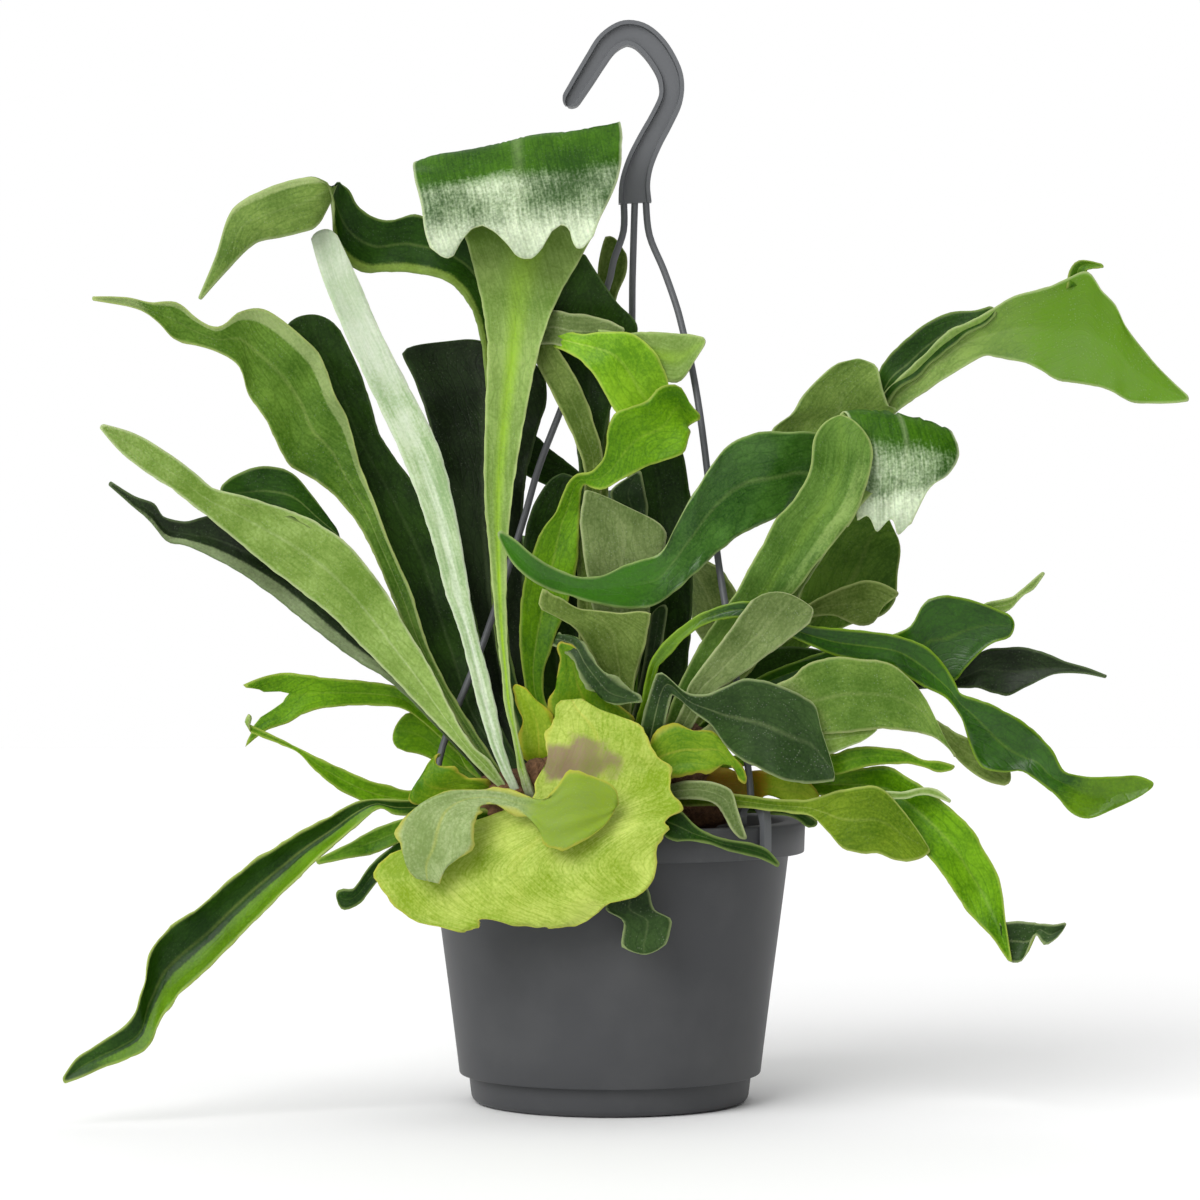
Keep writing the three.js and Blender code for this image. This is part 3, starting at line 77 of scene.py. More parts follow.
# A blunt tip's roundness as a share of its width, and a hem with enough points to need no rounding
TIP_ROUNDING = 0.4
FINE_HEM = 10

# A leaf's second blade: how far its root sits behind the first and over what length, and over what
# length a narrow root widens and how much deeper it starts
BRANCH_TUCK = 1.6
TUCK_LENGTH = 16
ROOT_LENGTH = 9
ROOT_SINK = 1.4

# Hem of the great crest from its left edge to its right: blunt lobes with broad bays between
CREST_HEM = [
    [0, 0.98], [0.04, 0.992], [0.08, 0.997], [0.13, 0.993], [0.2, 0.974], [0.27, 0.959], [0.33, 0.956],
    [0.4, 0.966], [0.47, 0.981], [0.53, 0.996], [0.58, 1], [0.64, 1], [0.69, 0.991], [0.74, 0.97],
    [0.79, 0.963], [0.84, 0.969], [0.88, 0.984], [0.92, 0.991], [0.96, 0.99], [1, 0.978],
]

# Every leaf's blades. The stations run from base to tip: across and up of the left edge, across and
# up of the right edge, the depth of the middle, how far the right edge lies behind it, and a bulge.
LEAVES = {
    "frond_tall_centre": [{"ends": CREST_HEM, "at": [
        [-35, 132, -30, 132, -56], [-37.5, 135, -32.5, 134, -66], [-40.5, 146, -37, 146, -71],
        [-42.5, 158, -39.8, 158, -70], [-46, 172, -42, 172, -66], [-47.3, 186, -43.6, 186, -61],
        [-49.6, 205, -44.8, 205, -54], [-52.5, 236, -44.8, 236, -46], [-54.9, 266, -42.2, 266, -40],
        [-54.4, 300, -36.5, 300, -34], [-53.6, 330, -30.5, 328, -29], [-57, 352, -22.5, 350, -24],
        [-64, 378, -8, 376, -18], [-76, 400, 1.5, 402, -15], [-85.4, 409, 4.5, 426, -22],
        [-85, 401, 5.2, 414, -33], [-82.3, 390, 3, 400, -38], [-80.6, 378, -4.5, 384, -41],
        [-76, 365.5, -10, 367.5, -42]
    ]}],
    "frond_pale_left": [{"at": [
        [-40, 130, -36, 130, -50], [-43, 135, -39, 135, -62], [-50.5, 150, -45, 150, -62],
        [-57, 170, -49, 168, -56], [-61.5, 188, -53, 186, -52], [-66, 205, -58, 204, -48],
        [-72, 222, -62, 226, -44], [-79.5, 250, -66, 250, -40], [-91, 281, -74, 283, -35],
        [-104, 309, -86.6, 309, -32], [-116, 335, -100, 335, -31], [-126, 360, -109, 356, -30],
        [-131, 378, -120.7, 381, -29]
    ]}],
    "frond_shade_left_centre": [{"at": [
        [-34, 140, -18, 140, -20], [-55, 163, -28, 165, -4], [-64, 198, -36, 200, 2],
        [-71, 240, -38, 240, 5], [-74, 270, -37, 268, 8], [-79, 295, -32, 290, 10],
        [-85, 313, -27.5, 306, 12], [-90.6, 328, -31, 321, 13], [-76, 333, -45, 331, 14]
    ]}],
    "frond_upper_left": [{"at": [
        [-34, 140, -28, 140, -24], [-42, 168, -36, 168, -12], [-50, 200, -44, 200, -8],
        [-53, 250, -45, 250, -8], [-53.5, 300, -43, 300, -10], [-58, 338, -41, 338, -13],
        [-70, 356, -55, 372, -13], [-90, 361, -82, 385.5, -12], [-108, 361, -97, 383.5, -13],
        [-118.5, 370, -108, 388, -17], [-120.3, 384, -115.5, 398, -24, 4], [-123, 399, -119, 399.5, -31, 6],
        [-130, 402.5, -123, 389, -36, 3], [-139, 401, -129, 380, -38], [-152, 396.5, -143, 376.2, -40],
        [-165, 388, -155, 373, -42], [-172, 368, -166, 362.5, -43], [-179.7, 349.5, -178.2, 348.8, -44]
    ]}],
    "frond_left_high": [{"at": [
        [-44, 134, -40, 134, -34], [-51, 142, -47, 143, -46], [-62, 158, -58, 160, -44],
        [-74, 178, -70.5, 180, -40], [-86, 198, -80, 200, -36], [-95, 219, -86, 220, -33],
        [-104, 240, -96, 243, -31], [-110, 251, -103, 262, -30], [-119.7, 263, -109, 277, -29],
        [-129.4, 270.5, -114, 296, -29], [-140, 277, -120, 308, -29], [-145.5, 287, -126, 324, -29],
        [-151, 298, -136, 334.5, -30], [-158, 308, -150, 344.5, -31], [-162, 320, -161, 344, -33],
        [-171, 326, -171, 337, -34], [-181, 329, -181, 341.6, -35], [-190, 331.5, -189, 348, -36],
        [-197, 339, -200, 347.8, -37], [-206.6, 345, -211, 350, -38], [-225.8, 348.6, -225.8, 350.4, -40]
    ]}],
    "frond_left_shade": [{"at": [
        [-42, 136, -34, 138, -26], [-67, 163, -50, 168, -14], [-80, 188, -54, 190, -10],
        [-91, 215, -59, 212, -9], [-100, 240, -66, 236, -8], [-110, 265, -81, 262, -8],
        [-119, 288, -99, 288, -8], [-128, 308, -104, 303, -8], [-137, 326, -110, 320, -8],
        [-143, 341, -121.7, 344, -8]
    ]}],
    "frond_left_long": [{"at": [
        [-43, 131, -38.5, 130.5, -48], [-47, 135, -43.5, 135, -60], [-56.6, 143.7, -52, 147.5, -62],
        [-63, 150.8, -60, 155, -60], [-71.4, 159.6, -67, 166, -57], [-81.3, 169.8, -73, 178, -54],
        [-90.5, 179.7, -79, 190, -52], [-100, 189.5, -87, 203, -50], [-111, 200.5, -95, 217, -49],
        [-122.3, 211.8, -103, 229, -48], [-134.5, 221.5, -115, 243, -47], [-146.8, 230.7, -130, 253, -47],
        [-157, 239, -144, 258.5, -47], [-169, 249, -160, 263.5, -48], [-181, 258.5, -173, 267, -49],
        [-192, 267, -184, 276, -50], [-204, 274.8, -197, 285, -51], [-214, 283, -208, 291, -52],
        [-222.8, 293.2, -221.2, 294.9, -54]
    ]},
    {"at": [
        [-116, 240, -121, 250, -44, 3], [-127, 247, -128.4, 261.5, -43, 3], [-136, 252, -139.6, 274, -43, 3],
        [-146, 255.5, -153, 276, -43, 3], [-156, 258, -163, 272.5, -44, 3], [-168, 261.5, -171, 266.5, -46, 2]
    ]}],
    "frond_left_low": [{"at": [
        [-46, 130, -42, 132, -26], [-56, 141, -52, 144, -38], [-64, 150, -60, 154, -42],
        [-78, 165, -72, 171, -43], [-90, 177, -84, 185, -44], [-99.7, 185, -92, 197, -43],
        [-110, 191, -102, 207, -42], [-122.3, 200, -113, 217, -41], [-132.5, 208, -125, 228, -40],
        [-142.7, 216.4, -138, 240, -39], [-151, 222.6, -150, 247, -39], [-161, 229.7, -163, 251, -39],
        [-171.4, 235.4, -175, 254.5, -39], [-183, 241, -185, 252.3, -40], [-193, 243.5, -194.5, 254.5, -41],
        [-200.5, 252, -199, 260.3, -42], [-209, 259.5, -207.5, 263.5, -43],
        [-218.9, 268.2, -217.9, 270, -44]
    ]}],
    "frond_left_forked": [{
        "ends": [[0, 1], [0.2, 0.97], [0.45, 0.86], [0.58, 0.84], [0.75, 0.93], [1, 1]], "at": [
        [-44, 131, -44, 136, -24], [-61, 143, -60, 150, -20], [-66, 151, -67, 157, -19],
        [-74, 158, -75, 165, -18], [-82.5, 165.5, -84.8, 174.5, -18], [-91, 170.7, -92, 179.7, -19],
        [-105.5, 172, -102, 182.2, -20], [-120, 171.4, -118, 183.6, -22], [-132, 169, -132, 185.3, -24],
        [-141, 164, -143, 186.3, -25], [-150, 161, -153, 184, -26], [-159, 154, -160, 181, -28]
    ]}],
    "frond_left_blunt": [{"at": [
        [-42, 130, -42, 136, -16], [-57, 138, -57, 144, -10], [-66, 141, -64, 150, -8],
        [-74, 146, -73, 158, -7], [-81, 150, -80, 165, -7], [-89, 151.7, -86, 169.5, -8],
        [-97.3, 151.2, -91, 170.6, -9]
    ]}],
    "frond_left_curled": [{"at": [
        [-44, 126, -44, 132, -34], [-58, 127, -58, 133, -36], [-72, 128, -72, 136, -38],
        [-88, 127.5, -87, 135, -40], [-99.5, 127.4, -97, 137.3, -42], [-110, 131, -106.7, 140, -44],
        [-120, 136.5, -117, 144.7, -45], [-129, 144, -128, 149.6, -46], [-137, 152, -138.5, 155, -47],
        [-152.8, 158.5, -152, 161.5, -48], [-157, 161, -158.7, 165, -49], [-156, 167, -157.6, 168.6, -50]
    ]}],
    "frond_left_hanging": [{"at": [
        [-42, 123, -42, 129, -44], [-58, 124, -58, 130, -49], [-74, 125, -74, 131, -53],
        [-92, 124, -92, 131, -57], [-100, 127, -104, 131.3, -58], [-106.7, 122.6, -113, 129, -59],
        [-117, 114, -124, 122.6, -60, 0, -3], [-129, 103.6, -137, 116, -62, 0, -4],
        [-138.5, 94.4, -149, 108, -64, 0, -4], [-149.7, 83, -160, 101, -66, 0, -4],
        [-160, 73, -170, 92.5, -68, 0, -4], [-169, 63.6, -180, 83.3, -70, 0, -4],
        [-179.5, 53.4, -191, 75.5, -72, 0, -4], [-189.7, 43.6, -199.5, 66.5, -74, 0, -4],
        [-196, 35, -203.5, 52, -75, 0, -3], [-199, 27, -206.5, 40, -76], [-203, 21.5, -211, 33, -77],
        [-211, 17.5, -218.5, 27.7, -78], [-221, 14, -226, 22.7, -79], [-229, 10.3, -233, 18, -80],
        [-238, 7, -238.9, 9.5, -80]
    ]}],
    "frond_left_small": [{"at": [
        [-42, 120, -42, 127, -52], [-60, 121, -58, 127.5, -60], [-74, 119, -73, 127, -64],
        [-86, 111, -84, 120, -66], [-96, 101, -94, 111.5, -66], [-104, 92, -104, 103, -66],
        [-108.5, 86, -110.5, 94, -66], [-115, 82.8, -113, 92, -66], [-118.8, 84.5, -120, 92.8, -65]
    ]},
    {"at": [
        [-50, 120, -50, 126, -57, -2], [-66, 121, -66, 127.3, -63.5, -2], [-78, 118, -77, 127, -66, -2],
        [-90, 113, -90, 123, -67], [-104, 107, -103, 118, -67], [-114, 105.3, -113, 112.5, -68],
        [-127.5, 102.5, -128.5, 104.8, -68]
    ]}],
    "frond_centre_olive": [{"at": [
        [-10, 140, -3, 140, 6], [-12, 165, -4, 165, 18], [-12, 210, -3, 210, 20], [-10, 255, -1, 255, 18],
        [-9, 300, 0, 300, 14], [-7, 335, 1, 335, 11], [-5.5, 352, 3, 350, 9], [-5.2, 364, 7, 360, 8],
        [-2.5, 375.5, 7.4, 368, 7.5], [0, 378, 5, 372.5, 7]
    ]}],
    "frond_centre_dark": [{"at": [
        [-6, 140, 2, 140, -10], [-12, 180, -5, 180, -6], [-12, 220, -5, 220, -8], [-13, 270, -4, 270, -10],
        [-18, 300, 0, 300, -12], [-26, 325, 9, 325, -13], [-26, 342, 12, 337.5, -14],
        [-21.5, 353, 3, 348, -15], [-17, 361, -5, 359.5, -15], [-12.7, 368.8, -10.8, 368.8, -15]
    ]}],
    "frond_centre_folded": [{"at": [
        [-10, 145, -4, 145, -28], [-12, 170, -6, 170, -20], [-14, 210, -6, 210, -22],
        [-14, 245, -5, 245, -24], [-11, 272, -3, 278, -26], [-15.7, 287.8, -6.5, 294, -26],
        [-20.5, 298.4, -11, 307, -24], [-26, 309.5, -16.5, 318, -22], [-32, 321, -23, 328.5, -20],
        [-36, 331, -27, 339, -18]
    ]},
    {"at": [
        [-35, 329, -33, 342, -18], [-26, 329.5, -25, 344.6, -21], [-17.6, 328, -17, 342.9, -24],
        [-11, 328, -9.4, 342.3, -25], [-4, 330, -1.2, 340, -26], [6, 334.5, 6.5, 336.5, -27]
    ]},
    {"at": [
        [-24, 328, -22, 336, -21, 0, 1], [-18.7, 326, -12, 334, -26], [-12.5, 322, -3, 334.8, -28],
        [-7.4, 316.6, 8.9, 334.4, -30], [-3.3, 310, 17.5, 328.5, -30], [1.8, 300.8, 22.5, 321, -29],
        [10, 292, 25.5, 312, -28], [18, 289, 25, 299, -27.5]
    ]},
    {"at": [
        [-6, 329, -5, 336, -27], [6, 326, 8, 334.5, -27.5], [13, 318, 14, 335, -27],
        [22, 314, 22, 334.8, -27], [30.5, 313.3, 30, 334.1, -27], [36.5, 321.5, 36.5, 333.7, -28],
        [41.9, 329.8, 41.2, 332.5, -29]
    ]}],
    "frond_centre_left": [{"at": [
        [-20, 148, -14, 148, -36], [-28, 160, -22, 160, -30], [-35, 172, -27, 170, -28],
        [-38, 186, -29, 184, -28], [-39.5, 202, -24.5, 200, -28], [-38.5, 220, -18, 218, -27],
        [-35.7, 233, -14, 236, -27], [-29.9, 248, -13.5, 250, -27], [-24, 256, -12.8, 260, -28],
        [-19.5, 267, -12.3, 266, -31], [-15.3, 272.5, -10.5, 268.5, -35], [-9.4, 273.6, -8, 267, -38],
        [-6.1, 275.8, -3, 266.2, -40], [-3, 280, 3.6, 269.5, -42], [-1.4, 286, 10, 273.2, -43],
        [-1.2, 292, 17, 276.5, -44], [2.1, 299.3, 25, 279.2, -44], [9, 302.3, 31.5, 281.5, -44],
        [16.1, 305.1, 33.7, 286, -43], [22, 311, 33.5, 290, -41], [30, 311.5, 33.5, 293, -38],
        [35, 303.5, 36, 295, -35.5], [39.3, 298.9, 39.3, 296.6, -34]
    ]}],
    "frond_centre_grey": [{"at": [
        [2, 146, 9, 146, -44], [0, 165, 9, 165, -36], [-1, 180, 11, 182, -35], [-5, 200, 15.5, 200, -36],
        [-10.2, 229, 20, 233, -37], [-12.4, 244, 24.5, 242, -37], [-13, 254, 22, 251, -37],
        [-11.8, 262, 4, 260.5, -36.5], [-11, 266, -8, 265.5, -36]
    ]}],
    "frond_centre_glossy": [{"at": [
        [24, 150, 30, 148, -24], [44, 190, 51, 186, -19], [60, 224, 68, 218, -22], [73, 245, 84, 238, -22],
        [80, 254, 96, 256, -23], [80, 256, 103, 274, -25], [77, 256, 99, 288, -28],
        [74, 254.8, 90, 291.2, -31], [67.4, 251.5, 80, 291.3, -34], [60.8, 248.6, 65.2, 291.3, -37],
        [55.3, 245.3, 54.3, 287.3, -39.5], [49.9, 241, 47, 281, -41], [44.4, 236.6, 41.5, 272.5, -43],
        [40.1, 232.2, 36.5, 264.5, -45], [34.6, 227.3, 32, 257, -46], [28.5, 221.8, 27.5, 248, -47],
        [20, 215.8, 22, 238.5, -48], [11, 214.3, 14, 235.7, -49.5], [2, 214.8, 6, 233, -51],
        [-8, 216.8, -4, 228.6, -52.5], [-18, 219.8, -14, 228.4, -54], [-28, 223, -25, 232.5, -56],
        [-37, 228.5, -33.5, 237.7, -60], [-43.5, 235.5, -41.5, 244.5, -62], [-49.4, 246.8, -48, 248.6, -63]
    ]}],
    "frond_centre_cup": [{"ends": [[0, 1], [0.15, 0.98], [0.4, 0.93], [0.7, 0.93], [1, 1]], "at": [
        [-2, 148, 5, 148, -50], [0, 160, 8, 160, -48], [0, 172, 9.5, 172, -51], [-3, 184, 11.5, 186, -54],
        [-9.7, 197, 14.5, 196, -57], [-15.5, 206, 16.3, 203, -59], [-24, 211, 17, 207, -60],
        [-31, 215, 17.5, 210, -61], [-29.5, 223, 17.8, 212, -62]
    ]}],
    "shield_centre": [{"at": [
        [-20, 150, 4, 150, -56], [-23.5, 166, 9, 165, -60], [-25.5, 174, 4, 172, -61],
        [-24, 183, -5, 181, -63], [-22, 191, -10, 189, -65], [-24, 200, -14, 198, -68]
    ]},
    {"at": [
        [-25, 198, -22, 204, -66], [-17, 194, -14, 202.5, -68], [-14, 187, -8, 194, -70],
        [-9.5, 180, -2, 187, -71], [-4.5, 174, 3.4, 181.8, -71], [2, 172.3, 9, 179, -71],
        [8, 172.8, 12.5, 177, -71], [14.3, 173.2, 14.4, 175.2, -71]
    ]}],
    "shield_small": [{"at": [
        [-33, 138, -23, 138, -50], [-37, 150, -24.5, 150, -60], [-38.6, 157, -23.5, 156, -62],
        [-39.2, 165, -24.4, 163.5, -62], [-41, 173, -29.8, 172.5, -61.5], [-42.9, 180.6, -37.5, 180.5, -60]
    ]}],
    "frond_centre_narrow": [{"at": [
        [4, 148, 10, 148, -36], [9, 165, 15, 165, -26], [14.5, 190, 21, 190, -26], [16.5, 204, 24, 205, -26],
        [18.2, 213.5, 25.5, 217.5, -26]
    ]}],
    "frond_centre_blue": [{"at": [
        [-4, 148, 2, 148, -16], [0, 180, 7, 180, -18], [2, 200, 10, 200, -20], [2, 235, 14, 235, -21],
        [3, 255, 16.5, 256, -21], [0.2, 265.5, 15.6, 264, -22], [10.5, 273, 13.5, 275, -22]
    ]}],
    "frond_centre_back": [{"at": [
        [8, 150, 18, 150, -10], [12, 180, 32, 180, -10], [12, 220, 36, 220, -8], [10, 250, 36, 255, -7],
        [8, 268, 34, 270, -6], [7, 279, 32, 281.5, -6], [13, 289, 28, 290, -6]
    ]}],
    "frond_shade_centre": [{"at": [
        [-22, 142, -16, 142, -26], [-28, 170, -15, 170, -14], [-36, 205, -12, 205, -14],
        [-38, 235, -9, 238, -14], [-35.5, 254, -8, 256, -14], [-29, 267, -12, 268, -14],
        [-22.8, 273.3, -18, 273.3, -14]
    ]}],
    "frond_crossing": [{"at": [
        [0, 150, 6, 150, 20], [6, 200, 12, 200, 26], [4, 235, 10, 240, 28], [-6, 255, -1, 262, 30],
        [-18.5, 266, -13, 273.5, 30], [-29, 268.5, -25, 283, 29], [-39, 274, -34, 290, 28],
        [-46, 281, -44.5, 285, 28]
    ]}],
    "frond_right_pale_lobe": [{"at": [
        [22, 150, 28, 148, -18], [38, 172, 44, 170, -14], [58, 205, 64, 201, -12], [76, 245, 84, 240, -12],
        [72, 280, 100, 276, -14], [70.5, 291.8, 123.8, 298.6, -16], [79, 299.2, 121.5, 303, -17],
        [84, 307, 119.3, 308.8, -18], [90.5, 314.2, 117.8, 314.5, -18.5], [98, 320.6, 116.2, 320, -19],
        [104.6, 323.1, 111, 323.5, -19]
    ]}],
    "frond_right_curled": [{"at": [
        [20, 152, 28, 150, -42], [28, 176, 38, 170, -52], [31, 183, 44, 178, -53],
        [38.4, 197.4, 56, 196, -54], [47, 210.5, 68, 210, -54], [55.3, 221.9, 81, 222, -54],
        [61, 233, 88, 231, -54], [66.8, 242.6, 96, 241, -54], [71.5, 252.5, 103, 249.5, -54],
        [78, 259.3, 108, 257, -54], [82.6, 265.5, 110.5, 264, -54], [86.5, 273, 112.8, 271.5, -54],
        [87.9, 280.7, 114.6, 279.5, -53.5], [88.8, 288.3, 113.4, 288, -53],
        [92.5, 294.5, 108.5, 294.5, -52.5], [98.5, 298.6, 102.5, 298.8, -52]
    ]},
    {"ends": [[0, 0.955], [0.17, 0.93], [0.4, 1], [0.6, 0.945], [0.85, 1], [1, 0.96]], "at": [
        [88, 256, 104, 250, -52.6], [94, 272, 114, 264, -48], [98, 290, 136, 278, -41],
        [101, 300, 146, 292.5, -40], [104, 296.5, 151, 287, -43], [106, 285, 152.2, 281, -45],
        [107, 272, 148, 273, -47], [107, 262, 139, 266, -48], [108, 249, 129, 246, -49]
    ]}],
    "frond_right_long": [{"at": [
        [24, 148, 30, 145, -6], [40, 170, 46, 166, -2], [58, 195, 65, 190, 0], [80, 235, 88, 229, 2],
        [100, 270, 110, 262, 0], [113, 294, 119, 288, -4], [119.4, 308.2, 124.5, 299.2, -8],
        [129, 317.7, 135.4, 307.2, -12], [139.2, 327.4, 145, 313.8, -15], [148.2, 336, 154, 319.3, -18],
        [156.5, 339.4, 162.9, 324.2, -20], [167.4, 345.4, 170, 323.4, -22], [176.4, 350.8, 178, 322, -24],
        [187, 353.4, 186, 319.4, -27], [197, 357, 194, 314.2, -30], [207.8, 361.3, 204.6, 312.3, -33],
        [214, 353.6, 213, 310.9, -36], [220, 347, 219.5, 308.5, -38], [226, 336, 227, 304.3, -40],
        [235.4, 323.8, 237, 303.6, -42], [244.4, 314.2, 246, 303.8, -44], [252.3, 307, 252.3, 304.6, -46]
    ]},
    {"at": [
        [116, 306, 119, 300, -7, -3], [118, 319, 126, 310, -9, -3], [124.5, 327.4, 134, 315, -11, -3],
        [131, 333, 141, 322, -13, -3], [139.2, 339.5, 149, 328, -16, -3], [149.5, 343.3, 156, 334, -18, -3],
        [160, 344.5, 164, 338, -20, -2], [167, 346.5, 169, 343, -22, -1]
    ]},
    {"at": [
        [199, 354, 209, 357, -31, 0], [200.5, 362, 208, 361.5, -32], [204, 366, 209.8, 362.2, -32],
        [209, 366, 212, 362.6, -33], [214.8, 364.6, 215.4, 362.8, -34]
    ]}],
    "frond_right_shade": [{"at": [
        [26, 146, 34, 142, 0], [46, 172, 54, 167, 4], [62, 195, 74, 188, 8], [80, 215, 100, 205, 12],
        [86, 232, 117, 210.5, 14], [92, 245, 124, 217, 15], [99, 254, 125.5, 230, 16],
        [108, 260, 126.6, 241, 16], [118, 260, 123.5, 251, 16]
    ]}],
    "frond_right_twisted": [{"at": [
        [24, 150, 29, 147, -30], [40, 170, 44, 166, -26.5], [56, 190, 60, 185, -27], [70, 205, 72, 200, -29],
        [84, 214.5, 86, 209.5, -28], [93.4, 220.2, 97, 211, -28], [106.8, 225.5, 108, 207, -28],
        [113, 226.7, 115, 208, -28], [120, 224.8, 119, 215, -27], [125.9, 221.4, 125.5, 219.8, -26]
    ]}],
    "frond_right_grey": [{"at": [
        [22, 154, 29, 150, -50], [31, 170, 38, 166, -63], [34, 180, 44, 176.5, -65], [40, 189, 54, 183, -66],
        [47, 198, 64, 190.5, -67], [54, 207.5, 75, 198.5, -67.5], [60.6, 216.6, 86, 207, -68],
        [65.5, 222.5, 92, 212.5, -68], [69.3, 226.3, 95.5, 211.4, -68]
    ]}],
    "frond_right_fill": [{"at": [
        [28, 150, 34, 143, -12], [42, 175, 52, 165, -7.5], [55, 190, 68, 172, -6.5], [70, 197, 84, 178, -6.5],
        [88, 197, 96, 182, -6.5], [99, 193, 101, 187, -6.5]
    ]}],
    "frond_right_arching": [{"at": [
        [4, 148, 9, 148, -47], [12, 168, 17, 166, -53], [16, 186, 20.5, 187, -58],
        [18.2, 192.5, 23.7, 191.4, -59], [24, 200.2, 28.5, 196.8, -60], [31.3, 206.6, 33.5, 202, -61],
        [39, 211.8, 40, 206.5, -62], [49.9, 216, 48.8, 209.5, -63], [60, 217.5, 58, 210, -64],
        [70, 215, 67, 206.5, -64], [78, 210.5, 76, 203, -63], [86.3, 207.2, 85.2, 199, -62],
        [99.4, 205.6, 98.3, 193.6, -61], [115.7, 204.2, 112, 191, -61], [128.8, 201.5, 122, 189.5, -61],
        [139.1, 196.8, 130, 184, -61], [146.2, 189.2, 138, 179.5, -61], [150.6, 181.6, 146, 175.5, -61],
        [153.5, 177, 152, 168.5, -62], [160.4, 174.7, 154.6, 162.5, -63], [168, 171.8, 156.5, 156, -64],
        [176, 167.4, 159, 149.5, -65], [184, 162, 163, 144.5, -66], [190, 156.2, 171, 143, -67],
        [194, 150.8, 179, 143.5, -68], [198, 143.5, 187, 138.5, -69], [205, 141.5, 194, 133, -69.5],
        [213, 140.8, 200.2, 126, -70], [222.5, 141.3, 208, 122.6, -70], [230, 141.4, 219, 126.5, -70],
        [235.5, 139.5, 230.5, 132, -70], [237.2, 138, 236.4, 136, -70]
    ]}],
    "frond_right_dark_tip": [{"at": [
        [24, 150, 27, 145, -37], [45, 163, 47, 157, -39], [70, 171, 71, 163, -41.5], [95, 176, 96, 167, -47],
        [122, 174, 122, 165, -52], [138, 168, 137, 161, -55], [146, 163.5, 145, 157, -56],
        [152, 159.5, 151, 149, -56.5], [158, 157, 157, 143.5, -57], [166, 152, 165, 138.6, -58],
        [175, 145, 174.8, 136.5, -59]
    ]}],
    "frond_right_broad": [{"at": [
        [24, 146, 27, 139, -50], [38, 160, 42, 152, -62], [54, 171, 58, 158, -65], [70, 180, 74, 159, -68],
        [80, 184.9, 86, 159.5, -69.5], [86.3, 190.3, 99.4, 159.8, -70], [98.3, 193.2, 110, 161, -70.5],
        [110, 192.2, 120, 161.7, -71], [121.7, 190.5, 128, 161, -71], [131, 183.5, 135.3, 159.8, -71],
        [137.5, 175.1, 140.8, 158.2, -71], [143, 164.2, 145.1, 155.4, -71], [147.3, 155.4, 148.5, 152, -71],
        [150.9, 150.6, 150.2, 149.2, -71]
    ]},
    {"at": [
        [76, 150, 76, 165, -67], [88, 150, 88, 164, -67.5], [96, 150.8, 96, 164, -67.5],
        [104, 154, 108, 164, -67.5], [112, 157, 119, 163.5, -68]
    ]}],
    "frond_right_dark_pointed": [{"at": [
        [28, 150, 33, 145, -24], [48, 166, 52, 160, -26], [75, 178, 78, 171, -30], [105, 186, 107, 178, -32],
        [130, 189, 131, 179, -34], [148, 187, 148, 179.5, -36], [154, 190, 156, 179.5, -36],
        [162.6, 195.8, 161, 179.6, -37], [170, 197.3, 167, 177.3, -38], [180, 197.4, 174, 176.5, -39],
        [188.7, 195.4, 183, 180.8, -40], [199, 191.2, 194, 185.6, -41], [208, 188.6, 206, 185.8, -42],
        [216.8, 185.2, 216.2, 183.8, -43]
    ]}],
    "frond_right_dark_lobed": [{"at": [
        [26, 152, 31, 148, -34], [46, 170, 50, 166, -33], [66, 185, 70, 179, -36], [98, 197, 100, 188, -43],
        [120, 202, 124, 190, -46], [131, 207, 136, 186, -46], [136.5, 216.3, 143, 184, -46],
        [143, 219.7, 150, 182.5, -46.5], [151, 219.5, 155, 188.3, -47], [159, 217.7, 161, 194.6, -47.5],
        [166, 215.2, 167, 199.2, -48], [172.4, 212.5, 173.5, 201.2, -48.5], [175.3, 212, 177.2, 204.5, -49]
    ]},
    {"at": [
        [158, 210, 159, 217, -47.5], [163, 211, 163, 217.5, -47.5], [168, 212, 168, 218, -47],
        [174, 213.4, 174.6, 219.2, -46], [179.2, 219, 178.2, 221.4, -45], [184.7, 222.6, 182, 225, -44],
        [187.3, 226, 185.3, 227.7, -44], [189.8, 229.6, 188.6, 230.5, -44]
    ]}],
    "frond_right_blunt": [{"at": [
        [11, 150, 21, 148, -56], [14, 166, 24, 163, -65], [18, 180, 27, 176, -68],
        [22, 186.5, 30, 175, -70], [33, 178, 36, 169.5, -71], [42, 177, 44, 163.5, -72],
        [50, 180.3, 50, 155, -73], [58, 183.5, 57, 148.5, -74], [67, 183, 64, 145, -74.5],
        [76, 180, 71, 141.5, -75], [84, 176.3, 78, 138.8, -75], [89.5, 172, 86, 138, -75],
        [92, 162.5, 92, 138.3, -75], [95, 153, 96, 138.8, -75], [97.8, 144, 98.2, 139, -75]
    ]}],
    "shield_right": [{"at": [
        [10, 146, 14, 139, -58], [17, 155, 22, 142, -67], [28, 163, 32, 141.5, -69],
        [38, 162, 41, 143.5, -70], [46, 160, 49, 145, -70], [52, 153, 53.5, 143.5, -70],
        [57.5, 146, 55.8, 140, -69.5], [60, 140, 58, 138, -69]
    ]}],
    "shield_right_dying": [{"at": [
        [26, 142, 26, 134, -40], [40, 142, 40, 134, -42], [52, 143.5, 52, 133, -43], [62, 144, 62, 132, -45],
        [70, 143, 70, 131, -49], [78, 142, 78, 128, -52], [85, 140, 84, 127, -54], [91.2, 134, 90.2, 130, -55]
    ]}],
    "frond_right_rim": [{"at": [
        [20, 137, 20, 130, -30], [40, 135, 40, 127, -36], [56, 133, 56, 125.5, -39],
        [67, 131.5, 67, 124.8, -43], [76, 129.5, 76, 124, -47], [83, 126.5, 82, 122, -49],
